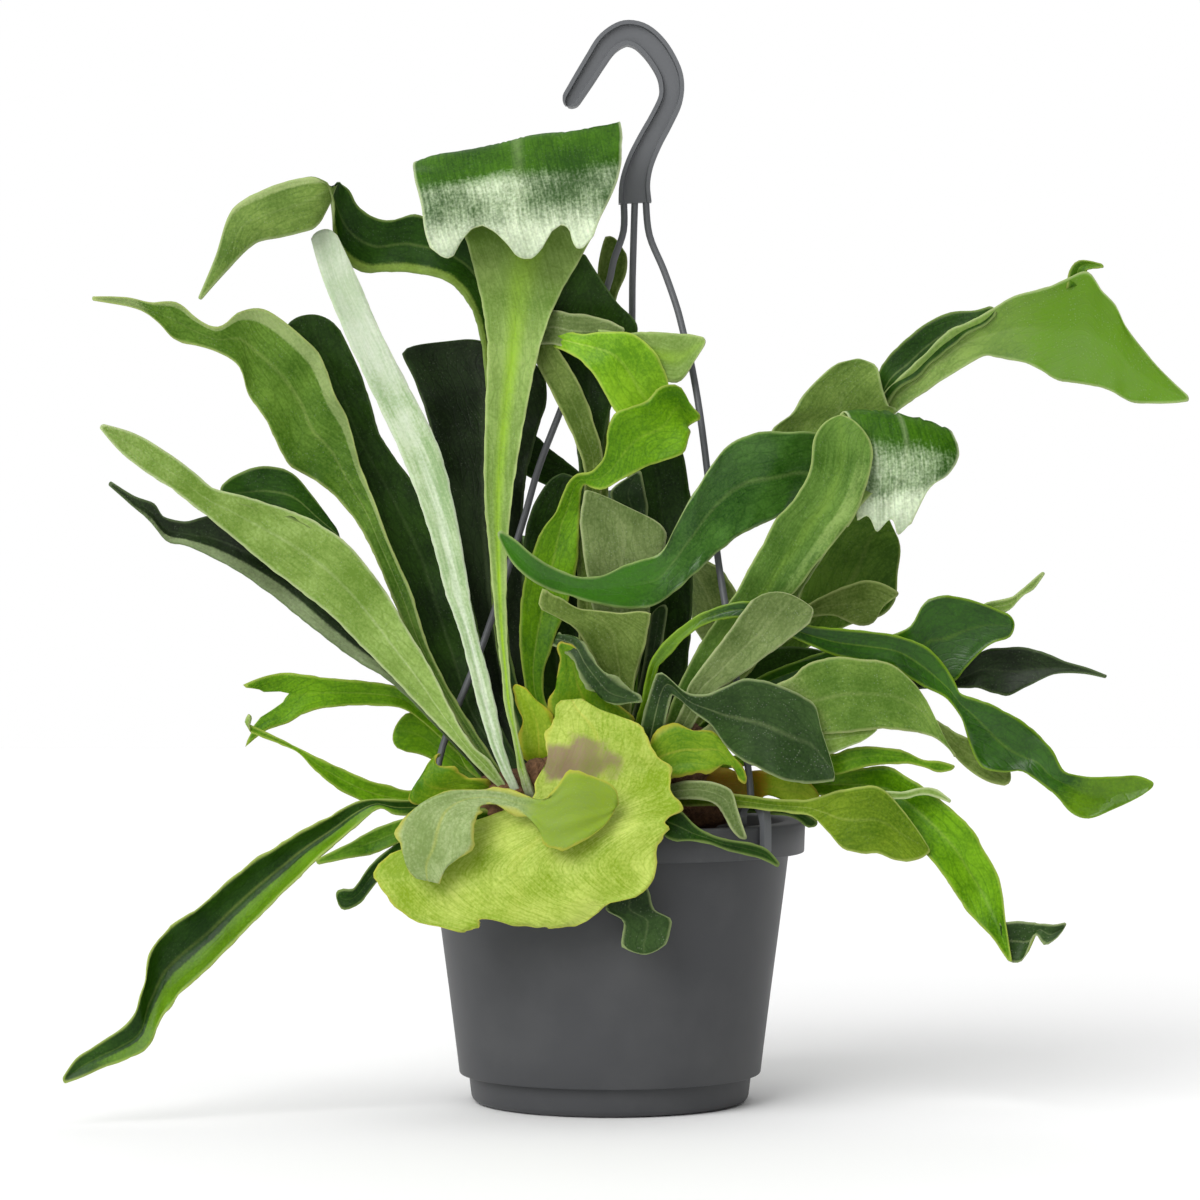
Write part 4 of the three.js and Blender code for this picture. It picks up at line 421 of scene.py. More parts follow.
        [88, 123.5, 86, 118.8, -50], [90.8, 121.6, 90, 119.2, -50]
    ]}],
    "frond_right_olive": [{"at": [
        [28, 134, 28, 128, -50], [50, 134, 50, 128, -58], [70, 131.5, 70, 126, -62],
        [80, 131, 80, 125, -66], [86, 131, 88, 123.5, -68], [93, 133, 95, 117, -69],
        [100, 135, 101, 110, -70], [108, 136.5, 109, 107.5, -71], [115, 137, 117, 107.5, -71],
        [121, 134, 124, 104.5, -71], [128, 126, 130, 104, -71], [134, 118, 136, 105.5, -70],
        [138.7, 110.3, 139.7, 108.2, -69]
    ]},
    {"at": [
        [108, 131, 109, 136.8, -70.5], [121, 131, 121, 134.8, -70], [129, 131.3, 129, 134.6, -69],
        [136, 133, 136, 136.4, -68], [142, 132, 142, 135.6, -68], [148.2, 129.4, 148.9, 130.8, -68]
    ]}],
    "frond_right_hanging": [{"at": [
        [30, 142, 30, 136, -30], [60, 143, 60, 136, -35], [80, 142, 80, 134, -43], [98, 143, 98, 132, -50],
        [108, 144.5, 109, 130, -54], [121, 145.5, 118, 126, -57], [131, 140, 124, 122, -60],
        [141, 133.5, 131, 115, -63], [150, 126, 138, 107, -66], [158, 118, 143, 101, -68],
        [163, 109, 148, 94, -69], [168, 101, 153, 86, -70], [171, 91, 159, 78.5, -72],
        [172.3, 80, 166, 71.5, -74], [173.8, 70, 170.5, 65, -75], [175.4, 60, 173.6, 60.6, -75]
    ]},
    {"at": [
        [170, 77, 172, 63, -74], [177, 78, 175.5, 60, -74.5], [183, 77.6, 180, 61, -76],
        [188, 77, 185, 72, -78], [194, 76.6, 190, 67.5, -80], [199.9, 77.8, 197, 72.5, -80]
    ]}],
    "frond_right_thin": [{"at": [
        [26, 146, 26, 141, -34], [60, 151, 60, 145.5, -40], [80, 151.5, 80, 144, -49],
        [97, 151, 98, 141.8, -59], [104, 153.3, 106, 143.7, -61], [112, 154.2, 114, 145.7, -61],
        [121, 153.6, 122, 146.2, -61], [129, 152, 130, 146.6, -61], [136, 148.6, 137, 145, -61],
        [144, 147.8, 143, 142.8, -61], [150.7, 145.8, 149.4, 143.8, -61]
    ]}],
    "frond_rim_front": [{"at": [
        [-4, 140, 0, 132, -66], [8, 135, 8, 128, -74], [17, 131, 16, 122, -81], [25, 128, 22, 116, -86.5],
        [31, 126, 28, 113, -88], [37, 120, 35, 112.8, -88], [43, 116.3, 42, 112, -87],
        [50, 114, 48, 109.8, -84], [57, 112.8, 54, 108, -81], [64, 111.4, 61, 106.3, -78],
        [69, 109, 67, 104.6, -75], [74.1, 103.2, 73, 101.4, -72]
    ]}],
    "frond_rim_folded": [{"at": [
        [14, 133, 14, 126, -54], [24, 137, 24, 130, -61], [32, 139, 31, 131, -66], [40, 139.3, 39, 131, -68],
        [47, 138, 45.5, 129, -69], [53, 135, 48.5, 126, -70], [55.5, 127.5, 50.5, 122, -72],
        [58, 119.5, 54, 116.5, -73.5], [60.2, 113.6, 57, 113.6, -74]
    ]}],
    "shield_front": [{
        "ends": [[0, 1], [0.2, 0.985], [0.33, 0.95], [0.46, 0.985], [0.7, 1], [1, 1]], "thick": 1.8, "at": [
        [-21, 174, -12, 174.8, -67], [-25, 169, -3, 170.5, -69], [-26, 163, 8, 166, -72],
        [-26, 157, 15, 159, -76], [-28, 150, 20, 150.5, -78.5], [-32, 140, 26, 144, -79.5],
        [-36, 131, 29, 136, -86, -2], [-58, 121.5, 28.5, 127, -90, -5], [-84, 112, 26, 119, -92, -6, 1],
        [-98, 104, 20.5, 111, -93.5, -6, 2], [-104, 97, 20.5, 104, -94.5, -5, 3],
        [-100, 91.5, 20, 97, -95.5, -4, 4], [-92, 83, 12, 90.5, -96, -3, 4], [-84, 77.5, 0, 87, -97, -2, 3],
        [-72, 75, -7, 79.5, -98, 0, 2], [-66, 73.4, -15, 75.6, -98]
    ]}],
    "shield_saddle": [{"at": [
        [-85, 97, -74, 94.5, -103], [-91, 105, -69, 101, -104], [-91.5, 113, -62, 108, -104],
        [-90, 120, -60, 117, -102], [-85, 128.5, -58, 124, -99], [-72, 134.5, -56.5, 126.8, -96],
        [-60, 136, -52, 127.8, -94], [-50, 135.5, -46, 127.5, -93], [-40, 133.3, -39, 125.5, -95],
        [-31, 133, -33.5, 119, -99], [-24, 135.5, -28.5, 111.5, -102], [-18, 142, -21, 109.3, -103],
        [-10, 142.2, -13, 112.3, -103], [-2, 139.5, -6, 116.3, -102], [2.5, 135.5, -1, 121, -101],
        [3.9, 131.5, 1.9, 126, -100]
    ]},
    {"at": [
        [-57, 131, -45, 131, -94], [-57, 132.5, -46, 132, -84], [-56, 132.5, -46, 132, -74],
        [-55, 131.5, -45, 131, -56]
    ]}],
    "shield_left": [{"at": [
        [-52, 128, -42, 129, -50], [-64, 132, -54, 138.5, -60], [-74, 130, -62, 140.5, -62],
        [-84, 128, -68, 144, -64], [-88, 132, -74, 145.5, -64], [-83, 139, -75.5, 150.5, -63],
        [-79.5, 147.5, -73, 151, -62]
    ]}],
    "frond_low_front": [{"stalk": 1.6, "at": [
        [-22, 130, -12, 130, -66], [-18, 127, -8, 127, -79], [-14, 121, -4, 121, -86.6],
        [-8, 108, 2, 108, -88.5], [0, 96, 14, 96, -89], [0, 89, 17.5, 90, -89], [-2, 83, 19.3, 83, -89],
        [5.5, 78.5, 26.5, 79, -89], [5.5, 73, 26.3, 73.5, -89], [5, 67, 24.5, 68, -89],
        [9, 63.5, 20.5, 63.2, -89]
    ]}],
}

# Fronds behind the clump: bearing from straight back, reach, height of crown and tip, width
BACK_LEAVES = {
    "frond_back_left": {"bearing": 24, "reach": 118, "crown": 262, "tip": 176, "width": 30},
    "frond_back_middle": {"bearing": -2, "reach": 138, "crown": 284, "tip": 204, "width": 34},
    "frond_back_right": {"bearing": -26, "reach": 124, "crown": 248, "tip": 160, "width": 30},
}

# What these have in common: where they spring from, how far out the two middle knots of the arch lie
# as a share of the reach and how high over the crown, the width from base to tip, and the mesh
BACK_SEAT = (-4, 30, 138)
BACK_KNOTS = [(0.12, -8), (0.62, 34)]
BACK_WIDTHS = [[0, 0.2], [0.25, 0.26], [0.5, 0.55], [0.75, 1], [1, 0.12]]
BACK_STEPS = 200
BACK_ROWS = 60
BACK_COLUMNS = 10

# For each blade: finish of the face turned to the viewer at its base, finish of its back, how far
# the patch colour covers it from base to tip, and how far from its left edge to its right. PLAIN is
# no patch.
PLAIN = []
# Painted light: a pale lit strip along the lower edge of frond_left_low, whose dark body is painted shade.
PAINTED_LIT_MARGIN = [[0, 1], [0.22, 1], [0.32, 0], [1, 0]]
# Painted light: the lit lower half of frond_left_hanging's fold, in its finish's patch colour.
PAINTED_LIT_THIRD = [[0, 1], [0.34, 1], [0.42, 0], [1, 0]]
RIGHT_MARGIN = [[0, 0], [0.8, 0], [0.87, 1], [1, 1]]
LOOKS = {
    "frond_tall_centre": [["under_fresh", "upper_crest",
                           [[0, 0.9], [0.05, 0.5], [0.1, 0], [0.87, 0], [0.905, 0.48], [0.935, 0.46],
                            [0.955, 0.56], [0.985, 0.88], [1, 1]]]],
    "frond_pale_left": [["under_white", "upper_mid",
                         [[0, 0.9], [0.1, 0.3], [0.5, 0.1], [0.75, 0.6], [1, 1]]]],
    "frond_shade_left_centre": [["upper_blackish", "under_olive"]],
    "frond_upper_left": [["upper_deep", "under_green", PLAIN, [[0, 1], [0.12, 1], [0.2, 0], [1, 0]]]],
    "frond_left_high": [["upper_mottled", "under_green",
                         [[0, 0], [0.9, 0], [0.95, 1], [1, 1]], RIGHT_MARGIN]],
    "frond_left_shade": [["upper_shade", "under_olive"]],
    "frond_left_long": [["under_pale", "upper_shade", [[0, 0.8], [0.12, 0.2], [1, 0.3]]],
                        ["upper_deep", "under_green"]],
    "frond_left_low": [["upper_blackish", "under_pale", PLAIN, PAINTED_LIT_MARGIN]],
    "frond_left_forked": [["upper_bright", "under_olive"]],
    "frond_left_blunt": [["upper_bright", "under_olive"]],
    "frond_left_curled": [["upper_bright", "under_fresh"]],
    "frond_left_hanging": [["upper_folded", "under_fresh", PLAIN, PAINTED_LIT_THIRD]],
    "frond_left_small": [["upper_deep", "under_olive"], ["upper_mid", "under_olive"]],
    "frond_centre_olive": [["under_olive", "upper_mid"]],
    "frond_centre_dark": [["upper_shade", "under_olive"]],
    "frond_centre_folded": [["under_olive", "under_grey"], ["under_grey", "upper_mid"],
                            ["upper_vivid", "under_pale"], ["under_fresh", "upper_mid"]],
    "frond_centre_left": [["upper_bright", "under_olive"]],
    "frond_centre_grey": [["under_grey", "upper_mid"]],
    "frond_centre_glossy": [["upper_sheen", "upper_gloss", [[0, 0], [0.66, 0], [0.86, 1], [1, 1]]]],
    "frond_centre_cup": [["under_olive", "upper_blue"]],
    "shield_centre": [["shield_deep", "upper_mid"], ["upper_blue", "under_pale"]],
    "shield_small": [["shield_lime", "upper_mid"]],
    "frond_centre_narrow": [["upper_blue", "under_olive"]],
    "frond_centre_blue": [["upper_blue", "under_pale"]],
    "frond_centre_back": [["upper_shade", "under_olive"]],
    "frond_shade_centre": [["upper_shade", "under_olive"]],
    "frond_crossing": [["upper_shade", "under_olive"]],
    "frond_right_pale_lobe": [["under_green", "upper_mid"]],
    "frond_right_curled": [["under_curled", "upper_mid", PLAIN, [[0, 0], [0.68, 0], [0.76, 0.6], [1, 0.4]]],
                           ["under_fresh", "upper_crest",
                            [[0, 0], [0.52, 0], [0.66, 0.38], [0.82, 0.44], [0.92, 0.85], [1, 1]]]],
    "frond_right_long": [["under_turning", "upper_mid", [[0, 0], [0.6, 0], [0.85, 0.9], [1, 1]]],
                         ["upper_deep", "under_green"], ["upper_mid", "under_green"]],
    "frond_right_shade": [["upper_mottled", "under_olive"]],
    "frond_right_twisted": [["under_olive", "upper_shade"]],
    "frond_right_grey": [["under_grey", "upper_mid"]],
    "frond_right_fill": [["upper_shade", "under_olive"]],
    "frond_right_arching": [["upper_gloss", "under_grey",
                             [[0, 1], [0.2, 1], [0.34, 0], [0.84, 0], [0.92, 1], [1, 1]]]],
    "frond_right_dark_tip": [["under_olive", "upper_blackish"]],
    "frond_right_broad": [["upper_hairy", "under_pale", [[0, 1], [0.35, 0.7], [0.6, 0.1], [1, 0]]],
                          ["under_pale", "under_pale"]],
    "frond_right_dark_pointed": [["upper_blackish", "under_olive"]],
    "frond_right_dark_lobed": [["upper_gloss", "under_olive"], ["under_green", "upper_mid"]],
    "frond_right_blunt": [["upper_blue", "under_pale"]],
    "shield_right": [["shield_deep", "under_olive"]],
    "shield_right_dying": [["shield_dying", "under_olive", [[0, 1], [0.55, 1], [0.75, 0], [1, 0]]]],
    "frond_right_rim": [["upper_deep", "under_olive"]],
    "frond_right_olive": [["under_lime", "upper_mid"], ["under_pale", "under_pale"]],
    "frond_right_hanging": [["upper_bright", "under_lime"], ["upper_blue", "under_lime"]],
    "frond_right_thin": [["upper_bright", "under_olive"]],
    "frond_rim_front": [["upper_deep", "under_pale"]],
    "frond_rim_folded": [["under_grey", "upper_deep"]],
    "shield_front": [["shield_fresh", "shield_deep"]],
    "shield_saddle": [["shield_grey", "shield_fresh", [[0, 0], [0.52, 0.05], [0.75, 1], [1, 1]]],
                      ["shield_grey", "shield_grey"]],
    "shield_left": [["shield_deep", "under_olive"]],
    "frond_low_front": [["upper_blue", "under_pale"]],
    "frond_back_left": [["upper_mid", "under_pale"]],
    "frond_back_middle": [["upper_deep", "under_pale"]],
    "frond_back_right": [["upper_mid", "under_olive"]],
}

# Depth of the fold along the midrib, where a blade is channelled, and the hollow across any blade
# as a share of its width
FOLDS = {
    "frond_left_hanging": 3.2, "frond_right_hanging": 2.6, "frond_left_low": 1.6, "frond_left_forked": 1.2,
    "frond_right_dark_pointed": 1.4, "frond_left_curled": 1.2, "frond_right_broad": -1.8,
    "frond_low_front": -0.6,
    "frond_right_blunt": 1.0, "frond_right_long": 1.2, "frond_upper_left": 1.6,
}
FROND_HOLLOW = 0.06
SHIELD_HOLLOW = 0.015

# Fine groove over the midrib: its depth, and its width as a share of the blade's. It is shallower
# where the blade is narrower than GROOVED_WIDTH.
GROOVE_DEPTH = 0.4
GROOVE_SHARE = 0.06
GROOVED_WIDTH = 14

# Leaves whose second blade springs from the middle of the first, narrow at its root
NARROW_ROOTS = ["frond_right_olive", "frond_right_dark_lobed", "shield_saddle"]

# Waves of a leaf: height, turns a millimetre along it, turns across it, and a seed of its own.
# Crinkle moves the margins sideways, scallop the hem, and sway and ripple the face. Blades narrower
# than CALM_WIDTH wave less.
FROND_CRINKLE = [[0.4, 0.16, 7, 0], [0.2, 0.4, 11, 0]]
SHIELD_CRINKLE = [[4, 0.075, 7, 4], [1.6, 0.21, 11, 0]]
SHIELD_SCALLOP = [[3.2, 0.08, 3, 0], [1.2, 0.25, 5, 0]]
SWAY = [[1, 0.05, 1.5, 9]]
SHIELD_SWAY = [[1.5, 0.03, 7, 0]]
CREST_SWAY = [[1.3, 0.02, 5, 0]]
RIPPLE = [[1, 0.11, 2, 0]]
SHIELD_RIPPLE = [[1.1, 0.06, 1, 2]]
SWAY_HEIGHT = 0.9
RIPPLE_HEIGHT = 2.2
CALM_WIDTH = 24

# Grey-brown felt round the front shield's seat: its middle and reach, across and up, and its cover
FELT_MIDDLE = (-12, 151)
FELT_REACH = (20, 13)
FELT_COVER = 0.85

# Reach of the rim's pale colour (partly painted edge highlight) from the margin, and the order of a leaf's
# three materials
RIM_REACH = 10
SEEN_FACE, BACK_FACE, RIM_FACE = range(3)

# Finish: shadowed colour, lit colour, rim, patch, streaks, hairs, roughness, shine
FINISHES = {
    "upper_bright": ["#3a6600", "#6c9c0e", "#9fb04a", "#86a044", 0.45, 0.15, 0.4, 0.12],
    "upper_vivid": ["#548406", "#8aba20", "#b4c858", "#86a044", 0.45, 0.15, 0.4, 0.15],
    "upper_mid": ["#285000", "#568014", "#8ea04a", "#7f9a40", 0.5, 0.3, 0.42, 0.12],
    "upper_mottled": ["#365808", "#62842c", "#a3b168", "#8fa264", 0.6, 0.6, 0.45, 0.12],
    # Painted light and shade: upper_folded's dark colours are the shaded half of a folded frond, its patch
    # colour the lit half.
    "upper_folded": ["#123200", "#2c500e", "#a3b55a", "#628c14", 0.4, 0.25, 0.38, 0.16],
    "upper_deep": ["#0e2a00", "#284a0a", "#7f9450", "#7c963e", 0.45, 0.28, 0.4, 0.1],
    "upper_sheen": ["#1c4406", "#487428", "#93a862", "#367000", 0.3, 0.25, 0.3, 0.32],
    # The next two are painted shade: dark copies of the upper face for fronds that lie in the clump's shade.
    "upper_shade": ["#122604", "#2c4a10", "#52663a", "#86a04c", 0.4, 0.3, 0.45, 0.1],
    "upper_blackish": ["#101c08", "#283a1a", "#5a6b44", "#86976a", 0.4, 0.35, 0.42, 0.15],
    "upper_blue": ["#182e0c", "#344e20", "#93a26e", "#aab78a", 0.25, 0.8, 0.46, 0.15],
    "upper_hairy": ["#44641a", "#708c3c", "#a2ac70", "#93a066", 0.25, 0.9, 0.5, 0.12],
    "upper_gloss": ["#163a00", "#2c5a00", "#7d9c24", "#5c8404", 0.25, 0.05, 0.27, 0.26],
    "upper_crest": ["#204600", "#416e08", "#c2cfa2", "#d9e6c6", 0.8, 0.35, 0.46, 0.12],
    "under_fresh": ["#668436", "#90aa5c", "#a8b878", "#dcdfbe", 0.8, 0.45, 0.55, 0.12],
    "under_curled": ["#3c5e18", "#628436", "#a0b06c", "#86a056", 0.7, 0.5, 0.55, 0.12],
    "under_green": ["#4e6a26", "#7a9446", "#a5b47a", "#9dae70", 0.6, 0.7, 0.6, 0.1],
    "under_turning": ["#587630", "#849e4e", "#a5b47a", "#5a8412", 0.5, 0.6, 0.5, 0.15],
    "under_pale": ["#607e2c", "#8ca656", "#b8c492", "#abbc88", 0.4, 0.8, 0.62, 0.1],
    "under_white": ["#88a470", "#b9caa2", "#c8d4b8", "#c6d0ba", 1.2, 0.5, 0.62, 0.1],
    "under_olive": ["#425816", "#708440", "#a0ac6a", "#a5b17a", 0.5, 0.5, 0.58, 0.1],
    "under_grey": ["#4c602c", "#778852", "#a8b280", "#a5b17a", 0.5, 0.8, 0.62, 0.1],
    "under_lime": ["#426000", "#708a1e", "#a8b45e", "#bcc47e", 0.5, 0.3, 0.52, 0.1],
    "shield_fresh": ["#7c981a", "#b6c65e", "#bcbc50", "#8f7c60", 0.7, 0.25, 0.48, 0.15],
    "shield_deep": ["#407000", "#789818", "#b0a63c", "#9c7828", 0.45, 0.2, 0.44, 0.15],
    "shield_lime": ["#6c8e04", "#9cb22c", "#beae38", "#9c7828", 0.3, 0.15, 0.44, 0.15],
    "shield_dying": ["#6c8e04", "#9cb226", "#b09c3a", "#a46c1c", 0.3, 0.15, 0.5, 0.15],
    "shield_grey": ["#768c4e", "#a8b882", "#b5b244", "#829c26", 0.5, 0.4, 0.55, 0.1],
}

# Midrib of the fresh undersides: a broad yellow-green band. Elsewhere it is a fine line in the
# rim's colour, of the strength and reach that PLAIN_RIB gives.
RIBS = {
    "under_fresh": ["#8cb420", 0.8, 0.5],
    "under_white": ["#dbe4cf", 0.6, 0.5],
    "under_curled": ["#7c9e38", 0.5, 0.3],
}
PLAIN_RIB = [0.3, 0.09]

# Colours under many finishes, as a shader reads them
BLACK = (0, 0, 0, 1)
WHITE = (1, 1, 1, 1)
STAR_HAIRS = (0.6, 0.66, 0.52, 1)
DUST = (0.3, 0.3, 0.29, 1)

# Relief of a surface: strength, and depth in metres
LEAF_RELIEF = (0.35, 0.0004)
PLASTIC_RELIEF = (0.12, 0.0002)
CRUMBLY_DEPTH = 0.002

# Profiles of radius and height, from the middle underneath, round the outside and back inside
POT_PROFILE = [
    (0, 20), (62.6, 20), (62.6, 12.5), (65.3, 12.5), (65.6, 13), (67.2, 26), (70, 48), (73.2, 72), (76.2, 95),
    (77.8, 108), (79.2, 119.6), (82.4, 119.6), (82.4, 108.6), (84.3, 108.6), (84.6, 109), (84.8, 115),
    (85, 121.2), (84.7, 121.9), (84.1, 122.3), (76.5, 122.3), (75.5, 121.3), (75.2, 108), (69, 60),
    (63.9, 22.6), (0, 22.6),
]
TRAY_PROFILE = [
    (0, 0), (56.4, 0), (57.6, 0.15), (59, 0.7), (59.9, 1.7), (60.4, 3), (61, 8), (61.5, 12.2), (61.5, 19.3),
    (61.2, 19.7), (58.9, 19.7), (58.6, 19.3), (57.4, 5.4), (54, 3.4), (0, 3.4),
]
SOIL_PROFILE = [
    (0, 23.2), (62.8, 23.2), (74.2, 108), (74.3, 110.6), (72, 111.6), (66, 111.9), (58, 112.2), (48, 112.4),
    (36, 112.6), (22, 112.8), (0, 113),
]

# Upright seams on the pot's rim band: the band's radius and top, each seam's place across, how proud
# they stand and their half width in radians
BAND_RADIUS = 85
BAND_TOP = 121.6
SEAMS = [36, 53.5, -70]
SEAM_HEIGHT = 0.5
SEAM_TURN = 0.014

# Crumbs on the soil: from what height up and how far out they lie, and how high they stand
SOIL_CRUMBS_FROM = 109.5
SOIL_CRUMBS_REACH = 73
CRUMB_HEIGHT = 1.8

# Centre and radii of each lump, the last two being the buds, and the knobs on them: height as a share
# of the lump, and turns over it
RHIZOME_LUMPS = [
    ((-12, -30, 130), (42, 42, 24)),
    ((26, -30, 150), (19, 38, 19)),
    ((-44, -38, 134), (16, 30, 12)),
    ((-5, 15, 135), (40, 30, 24)),
    ((-10, -45, 140), (26, 32, 20)),
    ((36, -24, 132), (25, 27, 13)),
    ((-31, -62, 145), (6.5, 7, 7)),
    ((19, -50, 161), (5, 6, 4)),
]
RHIZOME_KNOBS = [[0.12, 2.6], [0.07, 7], [0.035, 19]]

# Middle line and half width of the moulded hook, in the across-up plane, and half depths of its
# section: the raised rims, the web between them, and the rims' width
HOOK_LINE = [
    [-16.6, 436.6, 4.1], [-11.2, 445.2, 4.5], [-6.2, 453.2, 4.7], [-1.8, 459.7, 5], [3.2, 463.6, 5.2],
    [8, 465, 5.4], [14, 463.2, 5.7], [19.8, 457.8, 5.8], [24.6, 450.2, 5.6], [26.7, 443.6, 5.5],
    [26.3, 436, 5.3], [22.2, 427, 5.3], [17.4, 418.2, 5.5], [13, 408.4, 6], [10.8, 399, 6.7],
    [10.9, 391, 7.2],
]
HOOK_DEPTH = 4
HOOK_WEB = 1.7
HOOK_LIP = 1.8
HOOK_TIP_ANGLES = (78, 60, 40, 20)

# Each arm's bearing round the pot and its line across and up, from the neck to the rim. It starts to
# lean to its clip's depth at ARM_TOP and gets there at ARM_FOOT.
ARMS = {
    "left": [-160.7, [
        [6, 392], [5.9, 379], [1.8, 366.6], [-1, 355], [-10.5, 329], [-21, 302], [-31, 276], [-38.6, 250],
        [-55, 200], [-71, 160], [-76, 140], [-76.8, 131]]],
    "back": [79, [
        [10.8, 392], [10, 365], [9.7, 348], [9.7, 300], [11, 250], [12.5, 200], [14, 160], [15, 140],
        [15.5, 127.5]]],
    "right": [-41.2, [
        [15.6, 392], [17.2, 377], [23.5, 361.7], [29, 346], [32, 334.6], [35.6, 320], [40.2, 292],
        [47.2, 235],
        [53, 200], [57.3, 165], [60.7, 141], [61.5, 129.5]]],
}
ARM_RADIUS = 1.5
ARM_SIDES = 16
ARM_TOP = 389
ARM_FOOT = 133

# The clip over the pot's lip: its arch as radius and height, its radius where an arm meets it
CLIP_ARCH = [
    (72.2, 114.6), (72.2, 127), (73.4, 131), (76.4, 133.6), (81, 134), (85, 132.4), (87.6, 128.6),
    (88.2, 124), (88.2, 112.4), (87.4, 110.4), (85.9, 110.4), (85.6, 112), (85.6, 124), (84.6, 127.4),
    (82.6, 130), (80, 131), (77, 130.6), (75.2, 128.4), (74.8, 126), (74.8, 114.6),
]
CLIP_RADIUS = 80
CLIP_WIDTH = 4.8


def colour(code):
    """A colour as the eye names it, ready for a shader socket."""
    parts = [int(code[k:k + 2], 16) / 255 for k in (1, 3, 5)]
    return [(p / 12.92 if p <= 0.04045 else ((p + 0.055) / 1.055) ** 2.4) for p in parts] + [1.0]


def place(across, up, depth):
    """The point at a depth that the eye sees at this place in the plane of the pot's axis."""
    spread = (EYE_DISTANCE + depth) / EYE_DISTANCE
    return Vector((
        EYE_ACROSS + (across - EYE_ACROSS) * spread,
        depth,
        EYE_UP + (up - EYE_UP) * spread,
    ))


def between(table, position):
    """A smooth row between the stations, passing through each of them."""
    last = len(table) - 1
    index = min(max(int(math.floor(position)), 0), last - 1)
    t = position - index
    before, here = table[max(index - 1, 0)], table[index]
    there, after = table[index + 1], table[min(index + 2, last)]
    row = []
    for k in range(len(here)):
        slope_in = (there[k] - before[k]) / 2
        slope_out = (after[k] - here[k]) / 2
        rise = there[k] - here[k]
        curve = 3 * rise - 2 * slope_in - slope_out + t * (slope_in + slope_out - 2 * rise)
        row.append(here[k] + t * (slope_in + t * curve))
    return row


def sampled(table, steps):
    """Rows along the smooth curve through a table, so many steps from each station to the next."""
    return [between(table, i / steps) for i in range((len(table) - 1) * steps + 1)]


def smooth(value):
    """0 up to 0, 1 from 1 on, and a soft rise between."""
    value = min(max(value, 0), 1)
    return value * value * (3 - 2 * value)


def profile_at(profile, value, rounded=False):
    """The value of a run of [place, value] pairs at a place, straight or rounded between them."""
    for (a, va), (b, vb) in zip(profile, profile[1:]):
        if value <= b:
            t = (value - a) / (b - a)
            return va + (vb - va) * (smooth(t) if rounded else t)
    return profile[-1][1]


def station_table(blade):
    """The left and right edge in space at each station, and the bulge there."""
    table = []
    for station in blade["at"]:
        left_across, left_up, right_across, right_up, depth, lean, bulge = [*station, 0, 0][:7]
        left = place(left_across, left_up, depth - lean)
        right = place(right_across, right_up, depth + lean)
        table.append([*left, *right, bulge])
    return table


def length_marks(table):
    """Positions in the table, each with the blade's length from its base to there."""
    middles = [(Vector(row[0:3]) + Vector(row[3:6])) / 2 for row in sampled(table, MARKS_A_STATION)]
    marks = [(0.0, 0.0)]
    for i, middle in enumerate(middles[1:], start=1):
        marks.append((i / MARKS_A_STATION, marks[-1][1] + (middle - middles[i - 1]).length))
    return marks


def position_at(marks, share):
    """The position in the table at a share of the blade's length."""
    wanted = share * marks[-1][1]
    for (p0, l0), (p1, l1) in zip(marks, marks[1:]):
        if l1 >= wanted:
            return p0 + (p1 - p0) * (wanted - l0) / max(l1 - l0, TINY)
    return marks[-1][0]


def blade_grid(blade, narrow_root, tuck):
    """Points over the middle sheet of a blade, each with its share across and along, the width
    of the blade there and the length from its base."""
    table = station_table(blade)
    marks = length_marks(table)
    length = marks[-1][1]
    widths = [(Vector(row[0:3]) - Vector(row[3:6])).length for row in table]
    tip = TIP_ROUNDING * widths[-1]
    hem = blade.get("ends")
    rows = max(FEWEST_ROWS, round(length / ROW_LENGTH))
    cols = max(FEWEST_COLUMNS, min(MOST_COLUMNS, 2 * round(max(widths) / COLUMN_PAIR)))
    grid, places = [], []
    for i in range(rows + 1):
        line, spots = [], []
        for j in range(cols + 1):
            s = j / cols
            rim = 2 * s - 1
            end = 1 - tip / length * (1 - math.sqrt(1 - 0.98 * rim ** 2))
            if hem:
                end = profile_at(hem, s, rounded=len(hem) < FINE_HEM)
            row = between(table, position_at(marks, end * i / rows))
            left, right = Vector(row[0:3]), Vector(row[3:6])
            root = smooth(length * i / rows / ROOT_LENGTH) if narrow_root else 1
            point = left.lerp(right, 0.5 + (s - 0.5) * (0.1 + 0.9 * root))
            point.y += ROOT_SINK * (1 - root) + (tuck * (1 - smooth(length * i / rows / TUCK_LENGTH)))
            point.y -= row[6] * (1 - rim ** 2)
            line.append(point)
            spots.append((s, i / rows, (right - left).length, end * length * i / rows))
        grid.append(line)
        places.append(spots)
    return grid, places


